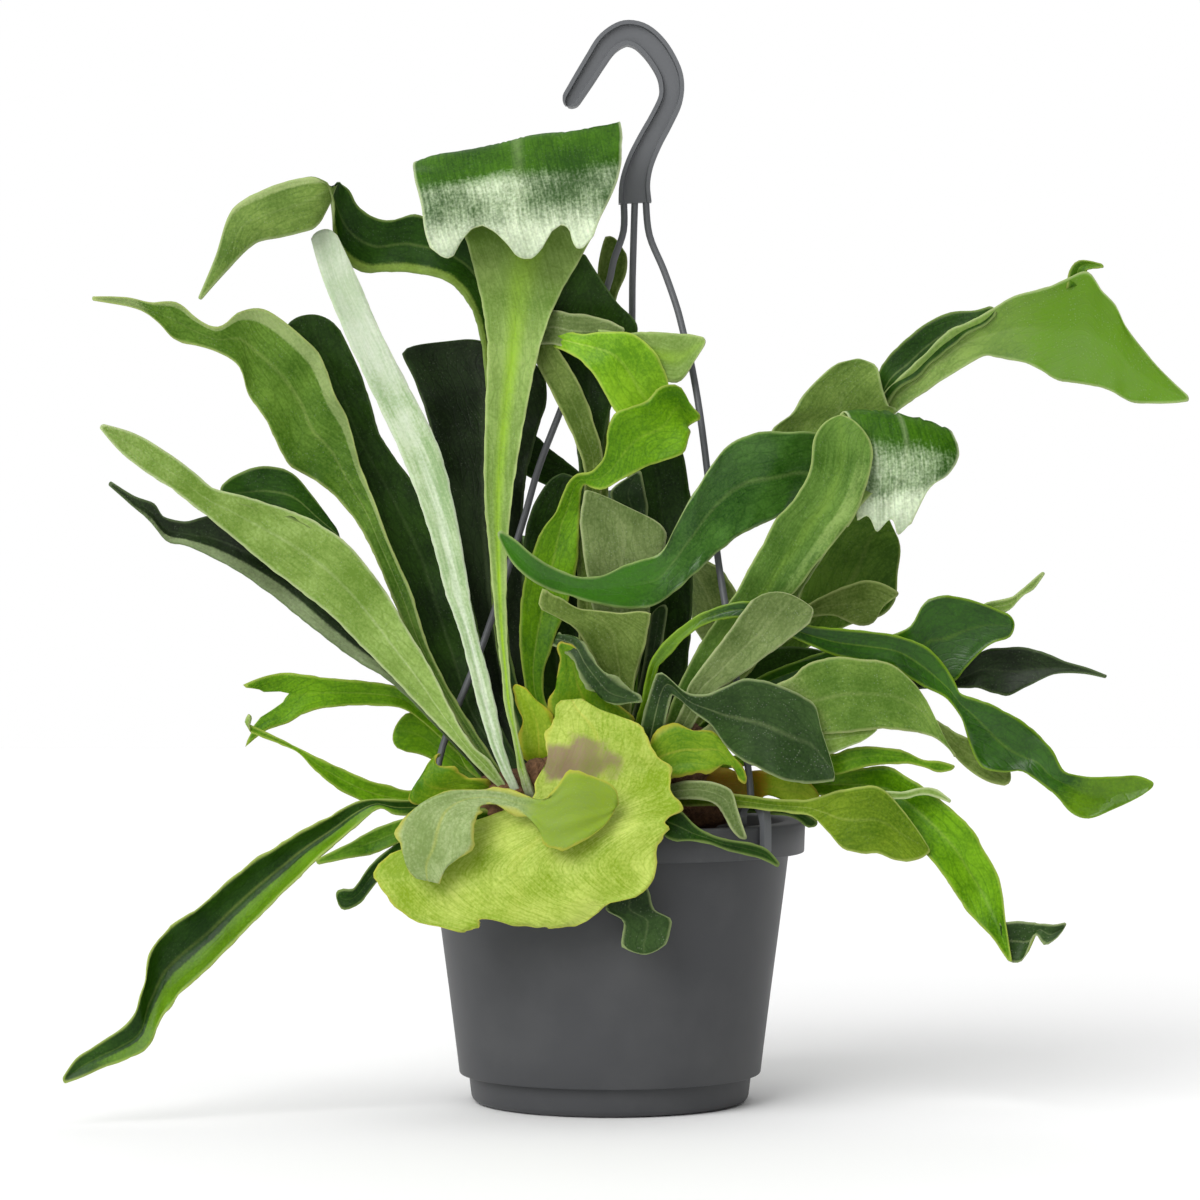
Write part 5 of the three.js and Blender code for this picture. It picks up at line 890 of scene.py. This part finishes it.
def back_grid(leaf):
    """The middle sheet of a frond that arches over behind the clump, and the same places."""
    turn = math.radians(leaf["bearing"])
    out = Vector((-math.sin(turn), math.cos(turn), 0))
    side = Vector((math.cos(turn), math.sin(turn), 0))
    start = Vector(BACK_SEAT) - side * leaf["bearing"] * 0.5
    knots = [start]
    for share, height in [(share, leaf["crown"] + over) for share, over in BACK_KNOTS] + [(1, leaf["tip"])]:
        knot = start + out * leaf["reach"] * share
        knot.z = height
        knots.append(knot)
    fine = []
    for i in range(BACK_STEPS + 1):
        t = i / BACK_STEPS
        weights = ((1 - t) ** 3, 3 * t * (1 - t) ** 2, 3 * t * t * (1 - t), t ** 3)
        fine.append(sum((knot * w for knot, w in zip(knots, weights)), Vector()))
    marks = [0.0]
    for a, b in zip(fine, fine[1:]):
        marks.append(marks[-1] + (b - a).length)
    grid, places = [], []
    k = 0
    for i in range(BACK_ROWS + 1):
        wanted = marks[-1] * i / BACK_ROWS
        while k < BACK_STEPS - 1 and marks[k + 1] < wanted:
            k += 1
        middle = fine[k].lerp(fine[k + 1], (wanted - marks[k]) / max(marks[k + 1] - marks[k], TINY))
        half = leaf["width"] / 2 * profile_at(BACK_WIDTHS, i / BACK_ROWS)
        line, spots = [], []
        for j in range(BACK_COLUMNS + 1):
            rim = 2 * j / BACK_COLUMNS - 1
            point = middle + side * rim * half
            point.z += 0.1 * half * rim * rim
            line.append(point)
            spots.append((j / BACK_COLUMNS, i / BACK_ROWS, 2 * half, wanted))
        grid.append(line)
        places.append(spots)
    return grid, places


def sheet_normals(grid):
    """The direction square to the middle sheet at each of its points."""
    rows, cols = len(grid) - 1, len(grid[0]) - 1
    normals = []
    for i, line in enumerate(grid):
        found = []
        for j in range(cols + 1):
            along = grid[min(i + 1, rows)][j] - grid[max(i - 1, 0)][j]
            across = line[min(j + 1, cols)] - line[max(j - 1, 0)]
            found.append(along.cross(across).normalized())
        normals.append(found)
    return normals


def waves(table, along, across, seed):
    """Soft waves added up, from the height, turns along, turns across and own seed of each."""
    return sum(height * noise.noise(Vector((along * turns, across * turns_across, seed + own_seed)))
               for height, turns, turns_across, own_seed in table)


def shaped_sheet(grid, places, normals, seen, name, crest, seed):
    """The middle sheet with crinkled margins, waves, ripples and a channel along the midrib."""
    cols = len(grid[0]) - 1
    shield = name.startswith("shield")
    fold = FOLDS.get(name, 0.0)
    hollow = SHIELD_HOLLOW if shield else FROND_HOLLOW
    widest = max(spot[2] for spots in places for spot in spots)
    shaped = []
    for i, spots in enumerate(places):
        side = (grid[i][cols] - grid[i][0]).normalized()
        line = []
        for j, (s, t, width, along) in enumerate(spots):
            rim = 2 * s - 1
            point = grid[i][j].copy()
            crinkle = waves(SHIELD_CRINKLE if shield else FROND_CRINKLE, along, s, seed)
            point += side * math.copysign(1, rim) * abs(rim) ** 6 * crinkle * smooth((1 - t) * 6)
            if shield and i:
                scallop = waves(SHIELD_SCALLOP, s * width, 1, seed)
                point += (grid[i][j] - grid[i - 1][j]).normalized() * scallop * smooth(t * 5 - 4)
            sway = waves(SWAY, along, s, seed) * smooth(t * 3)
            ripple = waves(RIPPLE, along, rim, seed) * smooth(t * 2.5)
            if shield:
                sway += waves(SHIELD_SWAY, along, s, seed) * smooth(t * 2)
                ripple += waves(SHIELD_RIPPLE, along, rim, seed) * smooth(t * 2.5)
            if crest:
                sway += waves(CREST_SWAY, along, s, seed) * smooth(t * 8 - 6.6)
            channel = (1 - abs(rim)) * fold * width / widest + (1 - rim * rim) * hollow * width
            channel *= smooth(t * 4) * (1 - smooth(t * 8 - 6) if crest else 1)
            groove = GROOVE_DEPTH * math.exp(-((s - 0.5) / GROOVE_SHARE) ** 2)
            groove = groove * min(width / GROOVED_WIDTH, 1) * (1 - 0.7 * t)
            calm = min(width / CALM_WIDTH, 1)
            lift = (sway * SWAY_HEIGHT * calm + ripple * rim ** 4 * RIPPLE_HEIGHT * calm
                    - seen * (channel + groove))
            line.append(point + normals[i][j] * lift)
        shaped.append(line)
    return shaped


def blade_side(mesh, sheet, normals, sign, blade):
    """Points of one face, half the leaf's thickness from its middle sheet and thinner at the margins."""
    rows, cols = len(sheet) - 1, len(sheet[0]) - 1
    stalk = blade.get("stalk", STALK_THICKNESS)
    layer = []
    for i in range(rows + 1):
        fade = min(i / rows / STALK_SHARE, 1)
        half = blade.get("thick", stalk + (BLADE_THICKNESS - stalk) * fade) / 2
        line = []
        for j in range(cols + 1):
            rounding = 1 - EDGE_THINNING * max(0.0, abs(2 * j / cols - 1) - 0.8) / 0.2
            point = sheet[i][j] + normals[i][j] * (sign * half * rounding)
            line.append(mesh.verts.new(point * MM))
        layer.append(line)
    return layer


def felt_patch(point):
    """How much of the front shield has turned to felt here, with a ragged border."""
    far = math.hypot((point.x - FELT_MIDDLE[0]) / FELT_REACH[0], (point.z - FELT_MIDDLE[1]) / FELT_REACH[1])
    return min(max((1 - far + 0.4 * noise.noise(point * 0.14)) * 1.6, 0), FELT_COVER)


def spread_marks(grid, places, name, runs):
    """What the leaf's materials read at each point: how far from the margin, how far along,
    how much of the patch colour and how far across."""
    rows = len(places) - 1
    along_run, across_run = [*runs, PLAIN, PLAIN][:2]
    longest = max(spot[3] for spots in places for spot in spots)
    marks = []
    for i, spots in enumerate(places):
        line = []
        for j, (s, t, width, along) in enumerate(spots):
            edge = min((1 - abs(2 * s - 1)) * width / RIM_REACH, (rows - i) * 0.8, 1)
            patch = profile_at(along_run, along / longest) if along_run else 0
            if across_run:
                patch = max(patch, profile_at(across_run, s) * smooth(t * 5 - 0.6) * smooth((1 - t) * 6))
            if name == "shield_front":
                patch = felt_patch(grid[i][j])
            line.append((edge, t, patch, s))
        marks.append(line)
    return marks


def add_blade(work, grid, places, name, blade, look, number):
    """Adds one closed blade: seen face, back face and the pale rim between them. The number of its
    look among the leaf's looks picks its materials and shifts its waves."""
    mesh, uv, tint = work
    rows, cols = len(grid) - 1, len(grid[0]) - 1
    normals = sheet_normals(grid)
    seen = 1 if normals[max(1, rows // 4)][cols // 2].y < 0 else -1
    sheet = shaped_sheet(grid, places, normals, seen, name, look[1] == "upper_crest", number)
    sides = {sign: blade_side(mesh, sheet, normals, sign, blade) for sign in (1, -1)}
    marks = spread_marks(grid, places, name, look[2:])

    def add_face(corners, finish):
        face = mesh.faces.new([sides[sign][i][j] for sign, i, j in corners])
        face.material_index = 3 * number + finish
        face.smooth = True
        for loop, (sign, i, j) in zip(face.loops, corners):
            s, t, width, along = places[i][j]
            loop[uv].uv = (s * width * MM, along * MM)
            loop[tint] = marks[i][j]

    for sign in (1, -1):
        for i in range(rows):
            for j in range(cols):
                corners = [(sign, i, j), (sign, i + 1, j), (sign, i + 1, j + 1), (sign, i, j + 1)]
                add_face(corners[::sign], SEEN_FACE if sign == seen else BACK_FACE)
    ring = [(i, 0) for i in range(rows + 1)] + [(rows, j) for j in range(1, cols + 1)]
    ring += [(i, cols) for i in range(rows - 1, -1, -1)] + [(0, j) for j in range(cols - 1, 0, -1)]
    for a, b in zip(ring, ring[1:] + ring[:1]):
        add_face([(1, *b), (1, *a), (-1, *a), (-1, *b)], RIM_FACE)


def finished(name, mesh, node, materials):
    """The piece made of a mesh, riding on the one body and standing in for its node."""
    data = bpy.data.meshes.new(name)
    mesh.to_mesh(data)
    mesh.free()
    piece = bpy.data.objects.new(name, data)
    bpy.context.collection.objects.link(piece)
    for material in materials:
        data.materials.append(material)
    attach(piece, "root")
    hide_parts(node)
    return piece


def make_leaf(name):
    """All blades of one leaf as one piece, with a seen, a back and a rim material for each look."""
    mesh = bmesh.new()
    uv = mesh.loops.layers.uv.new("Blade")
    tint = mesh.loops.layers.float_color.new("Spread")
    looks = LOOKS[name]
    materials = []
    for seen_finish, back_finish, *_ in looks:
        materials += [LEAF_SKINS[seen_finish], LEAF_SKINS[back_finish], RIM_SKINS[seen_finish]]
    if name in LEAVES:
        sheets = [(blade, *blade_grid(blade, k > 0 and name in NARROW_ROOTS, BRANCH_TUCK * min(k, 1)))
                  for k, blade in enumerate(LEAVES[name])]
    else:
        sheets = [({}, *back_grid(BACK_LEAVES[name]))]
    for k, (blade, grid, places) in enumerate(sheets):
        number = min(k, len(looks) - 1)
        add_blade((mesh, uv, tint), grid, places, name, blade, looks[number], number)
    finished(name + "_skin", mesh, name, materials)


def new_group(name, inputs, outputs):
    """A node group from the starting value of each input and the names of its outputs."""
    group = bpy.data.node_groups.new(name, "ShaderNodeTree")
    for label, value in inputs.items():
        kind = "NodeSocketFloat" if isinstance(value, float) else "NodeSocketColor"
        item = group.interface.new_socket(name=label, in_out="INPUT", socket_type=kind)
        item.default_value = value
    for label in outputs:
        kind = "NodeSocketColor" if label == "Colour" else "NodeSocketFloat"
        group.interface.new_socket(name=label, in_out="OUTPUT", socket_type=kind)
    return group, group.nodes.new("NodeGroupInput").outputs, group.nodes.new("NodeGroupOutput").inputs


def add_node(tree, kind, inputs=None, **settings):
    """A node with its settings, and its inputs set to values or linked to sockets."""
    made = tree.nodes.new(kind)
    for key, value in settings.items():
        setattr(made, key, value)
    for key, value in (inputs or {}).items():
        socket = made.inputs[key]
        if isinstance(value, bpy.types.NodeSocket):
            tree.links.new(value, socket)
        else:
            socket.default_value = value
    return made


def maths(tree, operation, a, b=0.0, clamp=False):
    return add_node(tree, "ShaderNodeMath", {0: a, 1: b}, operation=operation, use_clamp=clamp).outputs[0]


def plus(tree, a, b, clamp=False):
    return maths(tree, "ADD", a, b, clamp)


def minus(tree, a, b, clamp=False):
    return maths(tree, "SUBTRACT", a, b, clamp)


def times(tree, a, b, clamp=False):
    return maths(tree, "MULTIPLY", a, b, clamp)


def mixed(tree, factor, a, b):
    return add_node(tree, "ShaderNodeMix", {0: factor, 6: a, 7: b}, data_type="RGBA").outputs[2]


def ramp(tree, value, start, end, interpolation="LINEAR"):
    """0 at the start, 1 at the end."""
    return add_node(tree, "ShaderNodeMapRange", {0: value, 1: start, 2: end},
                    interpolation_type=interpolation).outputs[0]


def clouded(tree, where, scale, detail=2.0):
    return add_node(tree, "ShaderNodeTexNoise",
                    {"Vector": where, "Scale": scale, "Detail": detail}).outputs[0]


def stretched(tree, where, scale):
    return add_node(tree, "ShaderNodeMapping", {0: where, 3: scale}).outputs[0]


def over_surface(tree):
    return add_node(tree, "ShaderNodeTexCoord").outputs["Object"]


def felted_leaf_group():
    """Streaked blade colour with a light midrib, a pale rim partly painted as edge highlight, white star
    hairs and a patch colour.
    """
    group, given, result = new_group(
        "Felted leaf",
        {"Shadow": BLACK, "Light": WHITE, "Rim": WHITE, "Patch": WHITE, "Rib": WHITE, "Rib Strength": 0.3,
         "Rib Reach": 0.09, "Streaks": 0.5, "Hairs": 0.5, "Roughness": 0.5},
        ["Colour", "Height", "Roughness"],
    )
    spread = add_node(group, "ShaderNodeVertexColor", layer_name="Spread")
    parts = add_node(group, "ShaderNodeSeparateColor", {0: spread.outputs["Color"]})
    edge, along, patch = parts.outputs[0:3]
    across = spread.outputs["Alpha"]
    flat = add_node(group, "ShaderNodeUVMap", uv_map="Blade").outputs[0]
    spot = over_surface(group)

    streaks = clouded(group, stretched(group, flat, (900, 45, 1)), 1.0, 3.0)
    streak = times(group, times(group, minus(group, streaks, 0.5), 1.5), given["Streaks"])
    cloud = times(group, minus(group, clouded(group, spot, 42.0, 4.0), 0.5), 2.4)
    speck = times(group, minus(group, clouded(group, spot, 900.0, 3.0), 0.5), 1.3)
    mottle = plus(group, plus(group, streak, cloud), speck)
    tone = plus(group, mottle, 0.5, clamp=True)
    body = mixed(group, tone, given["Shadow"], given["Light"])

    net = add_node(group, "ShaderNodeTexVoronoi",
                   {"Vector": stretched(group, flat, (260, 90, 1)), "Scale": 1.0},
                   feature="DISTANCE_TO_EDGE").outputs["Distance"]
    vein = times(group, ramp(group, net, 0.09, 0.0), 0.4)
    body = mixed(group, vein, body, given["Shadow"])

    off_middle = maths(group, "ABSOLUTE", minus(group, across, 0.5))
    reach = maths(group, "DIVIDE", times(group, off_middle, 2.0), given["Rib Reach"])
    rib = times(group, minus(group, 1.15, along, clamp=True), given["Rib Strength"])
    rib = times(group, rib, ramp(group, reach, 1.0, 0.0, "SMOOTHSTEP"))
    rib = times(group, rib, plus(group, 0.6, tone), clamp=True)
    body = mixed(group, rib, body, given["Rib"])

    ragged = plus(group, patch, times(group, mottle, 0.2))
    covered = ramp(group, ragged, 0.25, 0.75, "SMOOTHSTEP")
    covered = times(group, covered, maths(group, "GREATER_THAN", patch, 0.01))
    dim = times(group, minus(group, 1.0, tone), 0.5)
    body = mixed(group, covered, body, mixed(group, dim, given["Patch"], given["Shadow"]))

    # Painted edge highlight: near the margin the blade turns to the rim's pale colour, partly the leaf's own
    # pale margin.
    margin = times(group, ramp(group, edge, 0.3, 0.0, "SMOOTHSTEP"), 0.75)
    body = mixed(group, margin, body, given["Rim"])

    stars = add_node(group, "ShaderNodeTexVoronoi", {"Vector": spot, "Scale": 800.0}).outputs["Distance"]
    bunched = ramp(group, clouded(group, spot, 130.0), 0.38, 0.62)
    fuzz = times(group, times(group, ramp(group, stars, 0.3, 0.1), bunched), given["Hairs"])
    body = mixed(group, times(group, fuzz, 0.16), body, STAR_HAIRS)

    height = plus(group, times(group, streaks, 0.5), fuzz)
    group.links.new(body, result["Colour"])
    group.links.new(minus(group, height, times(group, vein, 0.8)), result["Height"])
    group.links.new(plus(group, given["Roughness"], times(group, cloud, 0.08)), result["Roughness"])
    return group


def pale_rim_group():
    """The pale edge between a blade's two faces: the leaf's own pale margin with painted edge highlight,
    dimmer in noisy patches.
    """
    group, given, result = new_group("Pale rim", {"Pale": WHITE}, ["Colour"])
    dim = mixed(group, 0.35, given["Pale"], BLACK)
    # Painted edge highlight on the pale rim, dimmed in patches by noise.
    rim_mottle = clouded(group, over_surface(group), 160.0)
    group.links.new(mixed(group, rim_mottle, dim, given["Pale"]), result["Colour"])
    return group


def moulded_plastic_group():
    """Turned plastic with a fine grain, fine rings and a film of dust."""
    group, given, result = new_group(
        "Moulded plastic", {"Colour": (0.05, 0.05, 0.05, 1), "Dust": 0.1}, ["Colour", "Height", "Roughness"])
    spot = over_surface(group)
    film = clouded(group, spot, 24.0, 5.0)
    haze = times(group, ramp(group, film, 0.45, 0.75), given["Dust"])
    rings = clouded(group, stretched(group, spot, (6, 6, 900)), 1.0)
    height = plus(group, clouded(group, spot, 1400.0), times(group, rings, 0.6))
    group.links.new(mixed(group, haze, given["Colour"], DUST), result["Colour"])
    group.links.new(height, result["Height"])
    group.links.new(plus(group, 0.36, times(group, film, 0.22)), result["Roughness"])
    return group


def crumbly_group():
    """Peat, bark or brown fur: broken colour with a coarse relief."""
    group, given, result = new_group(
        "Crumbly", {"Dark": BLACK, "Light": WHITE, "Scale": 300.0}, ["Colour", "Height"])
    spot = over_surface(group)
    chips = add_node(group, "ShaderNodeTexVoronoi",
                     {"Vector": spot, "Scale": given["Scale"]}).outputs["Distance"]
    fibres = clouded(group, spot, times(group, given["Scale"], 3.0), 6.0)
    tone = plus(group, times(group, chips, 0.5), times(group, fibres, 0.6), clamp=True)
    group.links.new(mixed(group, tone, given["Dark"], given["Light"]), result["Colour"])
    group.links.new(tone, result["Height"])
    return group


def dressed(name, group, values, plain, relief=None):
    """A material that a shared group colours with these values. The group gives its roughness too,
    where it has one, and its relief, of a strength and a depth in metres. The rest is plain."""
    material = bpy.data.materials.new(name)
    material.use_nodes = True
    tree = material.node_tree
    shader = tree.nodes["Principled BSDF"]
    look = add_node(tree, "ShaderNodeGroup", values, node_tree=group).outputs
    tree.links.new(look["Colour"], shader.inputs["Base Color"])
    if "Roughness" in look:
        tree.links.new(look["Roughness"], shader.inputs["Roughness"])
    if relief:
        strength, depth = relief
        bump = add_node(tree, "ShaderNodeBump",
                        {"Height": look["Height"], "Strength": strength, "Distance": depth})
        tree.links.new(bump.outputs[0], shader.inputs["Normal"])
    for label, value in plain.items():
        shader.inputs[label].default_value = value
    return material


def leaf_skin(finish):
    """A leaf's face in one finish, a little see-through as thin leaves are."""
    shadow, light, rim, patch, streaks, hairs, roughness, shine = FINISHES[finish]
    rib, rib_strength, rib_reach = RIBS.get(finish, [rim, *PLAIN_RIB])
    values = {"Shadow": colour(shadow), "Light": colour(light), "Rim": colour(rim), "Patch": colour(patch),
              "Rib": colour(rib), "Rib Strength": rib_strength, "Rib Reach": rib_reach, "Streaks": streaks,
              "Hairs": hairs, "Roughness": roughness}
    plain = {"Specular IOR Level": shine, "Subsurface Weight": 0.12, "Subsurface Radius": (0.4, 1.0, 0.2),
             "Subsurface Scale": 0.002}
    return dressed("Leaf " + finish.replace("_", " "), FELTED_LEAF, values, plain, LEAF_RELIEF)


def rim_skin(finish):
    """The thin pale edge that goes with a finish."""
    values = {"Pale": colour(FINISHES[finish][2])}
    return dressed("Rim " + finish.replace("_", " "), PALE_RIM, values,
                   {"Roughness": 0.6, "Specular IOR Level": 0.2})


def plastic(name, code, dust, shine):
    values = {"Colour": colour(code), "Dust": dust}
    return dressed(name, MOULDED_PLASTIC, values, {"Specular IOR Level": shine}, PLASTIC_RELIEF)


def crumbly(name, dark, light, scale, strength):
    values = {"Dark": colour(dark), "Light": colour(light), "Scale": scale}
    return dressed(name, CRUMBLY, values, {"Roughness": 0.9}, (strength, CRUMBLY_DEPTH))


FELTED_LEAF = felted_leaf_group()
PALE_RIM = pale_rim_group()
CRUMBLY = crumbly_group()
MOULDED_PLASTIC = moulded_plastic_group()
LEAF_SKINS = {finish: leaf_skin(finish) for finish in FINISHES}
RIM_SKINS = {finish: rim_skin(finish) for finish in FINISHES}
POT_PLASTIC = plastic("Pot plastic", "#434446", 0.08, 0.22)
HANGER_PLASTIC = plastic("Hanger plastic", "#5a5c5f", 0.05, 0.5)
PEAT = crumbly("Peat and bark", "#1d130c", "#5b4332", 260, 0.9)
BROWN_FUR = crumbly("Brown fur", "#3a2416", "#8a6342", 420, 0.8)


def join_rings(mesh, rings):
    """The skin over rings of points. A ring of one point is a pole, and any other end is closed."""
    for low, high in zip(rings, rings[1:]):
        count = max(len(low), len(high))
        for k in range(count):
            n = (k + 1) % count
            if len(low) == 1:
                mesh.faces.new((low[0], high[n], high[k]))
            elif len(high) == 1:
                mesh.faces.new((low[k], low[n], high[0]))
            else:
                mesh.faces.new((low[k], low[n], high[n], high[k]))
    for end in (rings[0][::-1], rings[-1]):
        if len(end) > 1:
            mesh.faces.new(end)


def smoothed(mesh):
    """The mesh with every face turned outwards and shaded smooth."""
    bmesh.ops.recalc_face_normals(mesh, faces=mesh.faces)
    for face in mesh.faces:
        face.smooth = True
    return mesh


def turned(profile, steps=144, swell=None):
    """A closed form turned about the pot's axis from its profile of radius and height."""
    mesh = bmesh.new()
    rings = []
    for radius, height in profile:
        ring = []
        for k in range(steps if radius else 1):
            angle = 2 * math.pi * k / steps
            reach = radius + (swell(radius, height, angle) if swell else 0)
            ring.append(mesh.verts.new(
                (reach * MM * math.cos(angle), reach * MM * math.sin(angle), height * MM)))
        rings.append(ring)
    join_rings(mesh, rings)
    return smoothed(mesh)


def mould_seams(radius, height, angle):
    """How far the fine upright seams stand proud of the rim band."""
    if radius < BAND_RADIUS - 1 or height > BAND_TOP:
        return 0
    seams = [2 * math.pi - math.acos(across / BAND_RADIUS) for across in SEAMS]
    return sum(SEAM_HEIGHT * math.exp(-((angle - seam) / SEAM_TURN) ** 2) for seam in seams)


def rounded_edges(piece, width, angle=35):
    """Softens the edges that turn by more than an angle in degrees."""
    bevel = piece.modifiers.new("Rounded edges", "BEVEL")
    bevel.width = width * MM
    bevel.segments = 2
    bevel.limit_method = "ANGLE"
    bevel.angle_limit = math.radians(angle)
    bevel.harden_normals = True


def make_pot():
    mesh = turned(POT_PROFILE, 480, mould_seams)
    piece = finished("pot_skin", mesh, "pot", [POT_PLASTIC])
    rounded_edges(piece, 0.25, 50)


def make_tray():
    finished("tray_skin", turned(TRAY_PROFILE), "tray", [POT_PLASTIC])


def make_soil():
    mesh = turned(SOIL_PROFILE, 96)
    for vert in mesh.verts:
        if vert.co.z > SOIL_CRUMBS_FROM * MM and vert.co.xy.length < SOIL_CRUMBS_REACH * MM:
            vert.co.z += CRUMB_HEIGHT * MM * (noise.noise(vert.co * 260) - 0.6)
    finished("soil_skin", mesh, "soil", [PEAT])


def make_rhizome():
    mesh = bmesh.new()
    for centre, radii in RHIZOME_LUMPS:
        made = bmesh.ops.create_icosphere(mesh, subdivisions=4, radius=1)
        for vert in made["verts"]:
            direction = vert.co.copy()
            where = direction + Vector(centre) * 0.1
            rough = sum((height * noise.noise(where * turns) for height, turns in RHIZOME_KNOBS), 0.95)
            vert.co = Vector([(c + d * r * rough) * MM for c, d, r in zip(centre, direction, radii)])
    for face in mesh.faces:
        face.smooth = True
    finished("rhizome_skin", mesh, "rhizome", [BROWN_FUR])


def hook_section(half):
    """The moulded bar's section: a thin web between two raised rims."""
    lip = min(HOOK_LIP, 0.45 * half)
    inside = half - lip
    web = inside - 0.2 * lip
    return [
        (-half, -HOOK_DEPTH), (-inside, -HOOK_DEPTH), (-web, -HOOK_WEB), (web, -HOOK_WEB),
        (inside, -HOOK_DEPTH), (half, -HOOK_DEPTH), (half, HOOK_DEPTH), (inside, HOOK_DEPTH),
        (web, HOOK_WEB), (-web, HOOK_WEB), (-inside, HOOK_DEPTH), (-half, HOOK_DEPTH),
    ]


def neighbours(row, i):
    """The items before and after one in a row, or the item itself at an end."""
    return row[max(i - 1, 0)], row[min(i + 1, len(row) - 1)]


def add_hook(mesh):
    tip_across, tip_up, tip_half = HOOK_LINE[0]
    tip = Vector((tip_across, tip_up))
    back = (tip - Vector(HOOK_LINE[1][:2])).normalized()
    points, halves = [], []
    for angle in HOOK_TIP_ANGLES:
        turn = math.radians(angle)
        points.append(tip + back * tip_half * math.sin(turn))
        halves.append(tip_half * math.cos(turn))
    for across, up, half in sampled(HOOK_LINE, 4):
        points.append(Vector((across, up)))
        halves.append(half)
    rings = []
    for i, (point, half) in enumerate(zip(points, halves)):
        before, after = neighbours(points, i)
        along = (after - before).normalized()
        side = Vector((-along.y, along.x))
        ring = []
        for reach, depth in hook_section(half):
            corner = point + side * reach
            ring.append(mesh.verts.new((corner.x * MM, depth * MM, corner.y * MM)))
        rings.append(ring)
    join_rings(mesh, rings)


def add_arm(mesh, bearing, line):
    """A round bar from the hook's neck to its clip, coming forward or going back on the way down."""
    clip_depth = CLIP_RADIUS * math.sin(math.radians(bearing))
    points = []
    for across, up in sampled(line, 5):
        share = min(max((ARM_TOP - up) / (ARM_TOP - ARM_FOOT), 0), 1)
        points.append(place(across, up, clip_depth * share))
    rings = []
    side = Vector((1, 0, 0))
    for i, point in enumerate(points):
        before, after = neighbours(points, i)
        along = (after - before).normalized()
        side = (side - along * side.dot(along)).normalized()
        other = along.cross(side)
        ring = []
        for k in range(ARM_SIDES):
            angle = 2 * math.pi * k / ARM_SIDES
            corner = point + (side * math.cos(angle) + other * math.sin(angle)) * ARM_RADIUS
            ring.append(mesh.verts.new(corner * MM))
        rings.append(ring)
    join_rings(mesh, rings)


def add_clip(mesh, bearing):
    """The strap that arches over the pot's lip, from inside it to the band outside."""
    turn = math.radians(bearing)
    out = Vector((math.cos(turn), math.sin(turn), 0))
    side = Vector((-math.sin(turn), math.cos(turn), 0))
    rings = []
    for offset in (-CLIP_WIDTH / 2, CLIP_WIDTH / 2):
        rings.append([
            mesh.verts.new((out * radius + side * offset + Vector((0, 0, height))) * MM)
            for radius, height in CLIP_ARCH
        ])
    join_rings(mesh, rings)


def make_hanger():
    mesh = bmesh.new()
    add_hook(mesh)
    for bearing, line in ARMS.values():
        add_arm(mesh, bearing, line)
        add_clip(mesh, bearing)
    piece = finished("hanger_skin", smoothed(mesh), "hanger", [HANGER_PLASTIC])
    rounded_edges(piece, 0.4)


def soft_light(name, towards, spread, strength):
    """Broad even light that comes from one direction."""
    data = bpy.data.lights.new(name, "SUN")
    data.angle = math.radians(spread)
    data.energy = strength
    light = bpy.data.objects.new(name, data)
    bpy.context.collection.objects.link(light)
    light.rotation_euler = Vector(towards).to_track_quat("Z", "Y").to_euler()


def make_camera():
    data = bpy.data.cameras.new("Camera")
    data.sensor_width = SENSOR_WIDTH
    data.lens = SENSOR_WIDTH * EYE_DISTANCE / VIEW_WIDTH
    data.clip_start = 0.01
    camera = bpy.data.objects.new("Camera", data)
    bpy.context.collection.objects.link(camera)
    camera.location = (EYE_ACROSS * MM, -EYE_DISTANCE * MM, EYE_UP * MM)
    camera.rotation_euler = (math.radians(90), 0, 0)
    bpy.context.scene.camera = camera


def make_floor():
    mesh = bmesh.new()
    bmesh.ops.create_grid(mesh, x_segments=1, y_segments=1, size=FLOOR_HALF)
    data = bpy.data.meshes.new("floor")
    mesh.to_mesh(data)
    mesh.free()
    floor = bpy.data.objects.new("floor", data)
    bpy.context.collection.objects.link(floor)
    floor.location.z = -FLOOR_DROP
    white = bpy.data.materials.new("White floor")
    white.use_nodes = True
    shader = white.node_tree.nodes["Principled BSDF"]
    shader.inputs["Base Color"].default_value = (0.97, 0.97, 0.97, 1)
    shader.inputs["Roughness"].default_value = 0.8
    data.materials.append(white)


def make_surroundings():
    """White all around for the eye, and dimmer as light on the plant."""
    world = bpy.data.worlds.new("White studio")
    world.use_nodes = True
    tree = world.node_tree
    background = tree.nodes["Background"]
    background.inputs["Color"].default_value = (1, 1, 1, 1)
    path = add_node(tree, "ShaderNodeLightPath")
    glow = add_node(tree, "ShaderNodeMapRange", {0: path.outputs["Is Camera Ray"], 3: AMBIENT, 4: 1.0})
    tree.links.new(glow.outputs[0], background.inputs["Strength"])
    bpy.context.scene.world = world
    bpy.context.scene.view_settings.view_transform = "Standard"


make_camera()
make_floor()
make_surroundings()
soft_light("Key light", (-0.55, -0.82, 0.7), 42, 2.35)
soft_light("Front light", (-0.3, -1, 0.12), 44, 0.5)
soft_light("Fill light", (0.9, -0.6, 0.4), 80, 0.06)
soft_light("Top light", (0.05, 0.25, 1), 85, 1.4)

make_tray()
make_pot()
make_soil()
make_rhizome()
make_hanger()
for leaf_name in LOOKS:
    make_leaf(leaf_name)
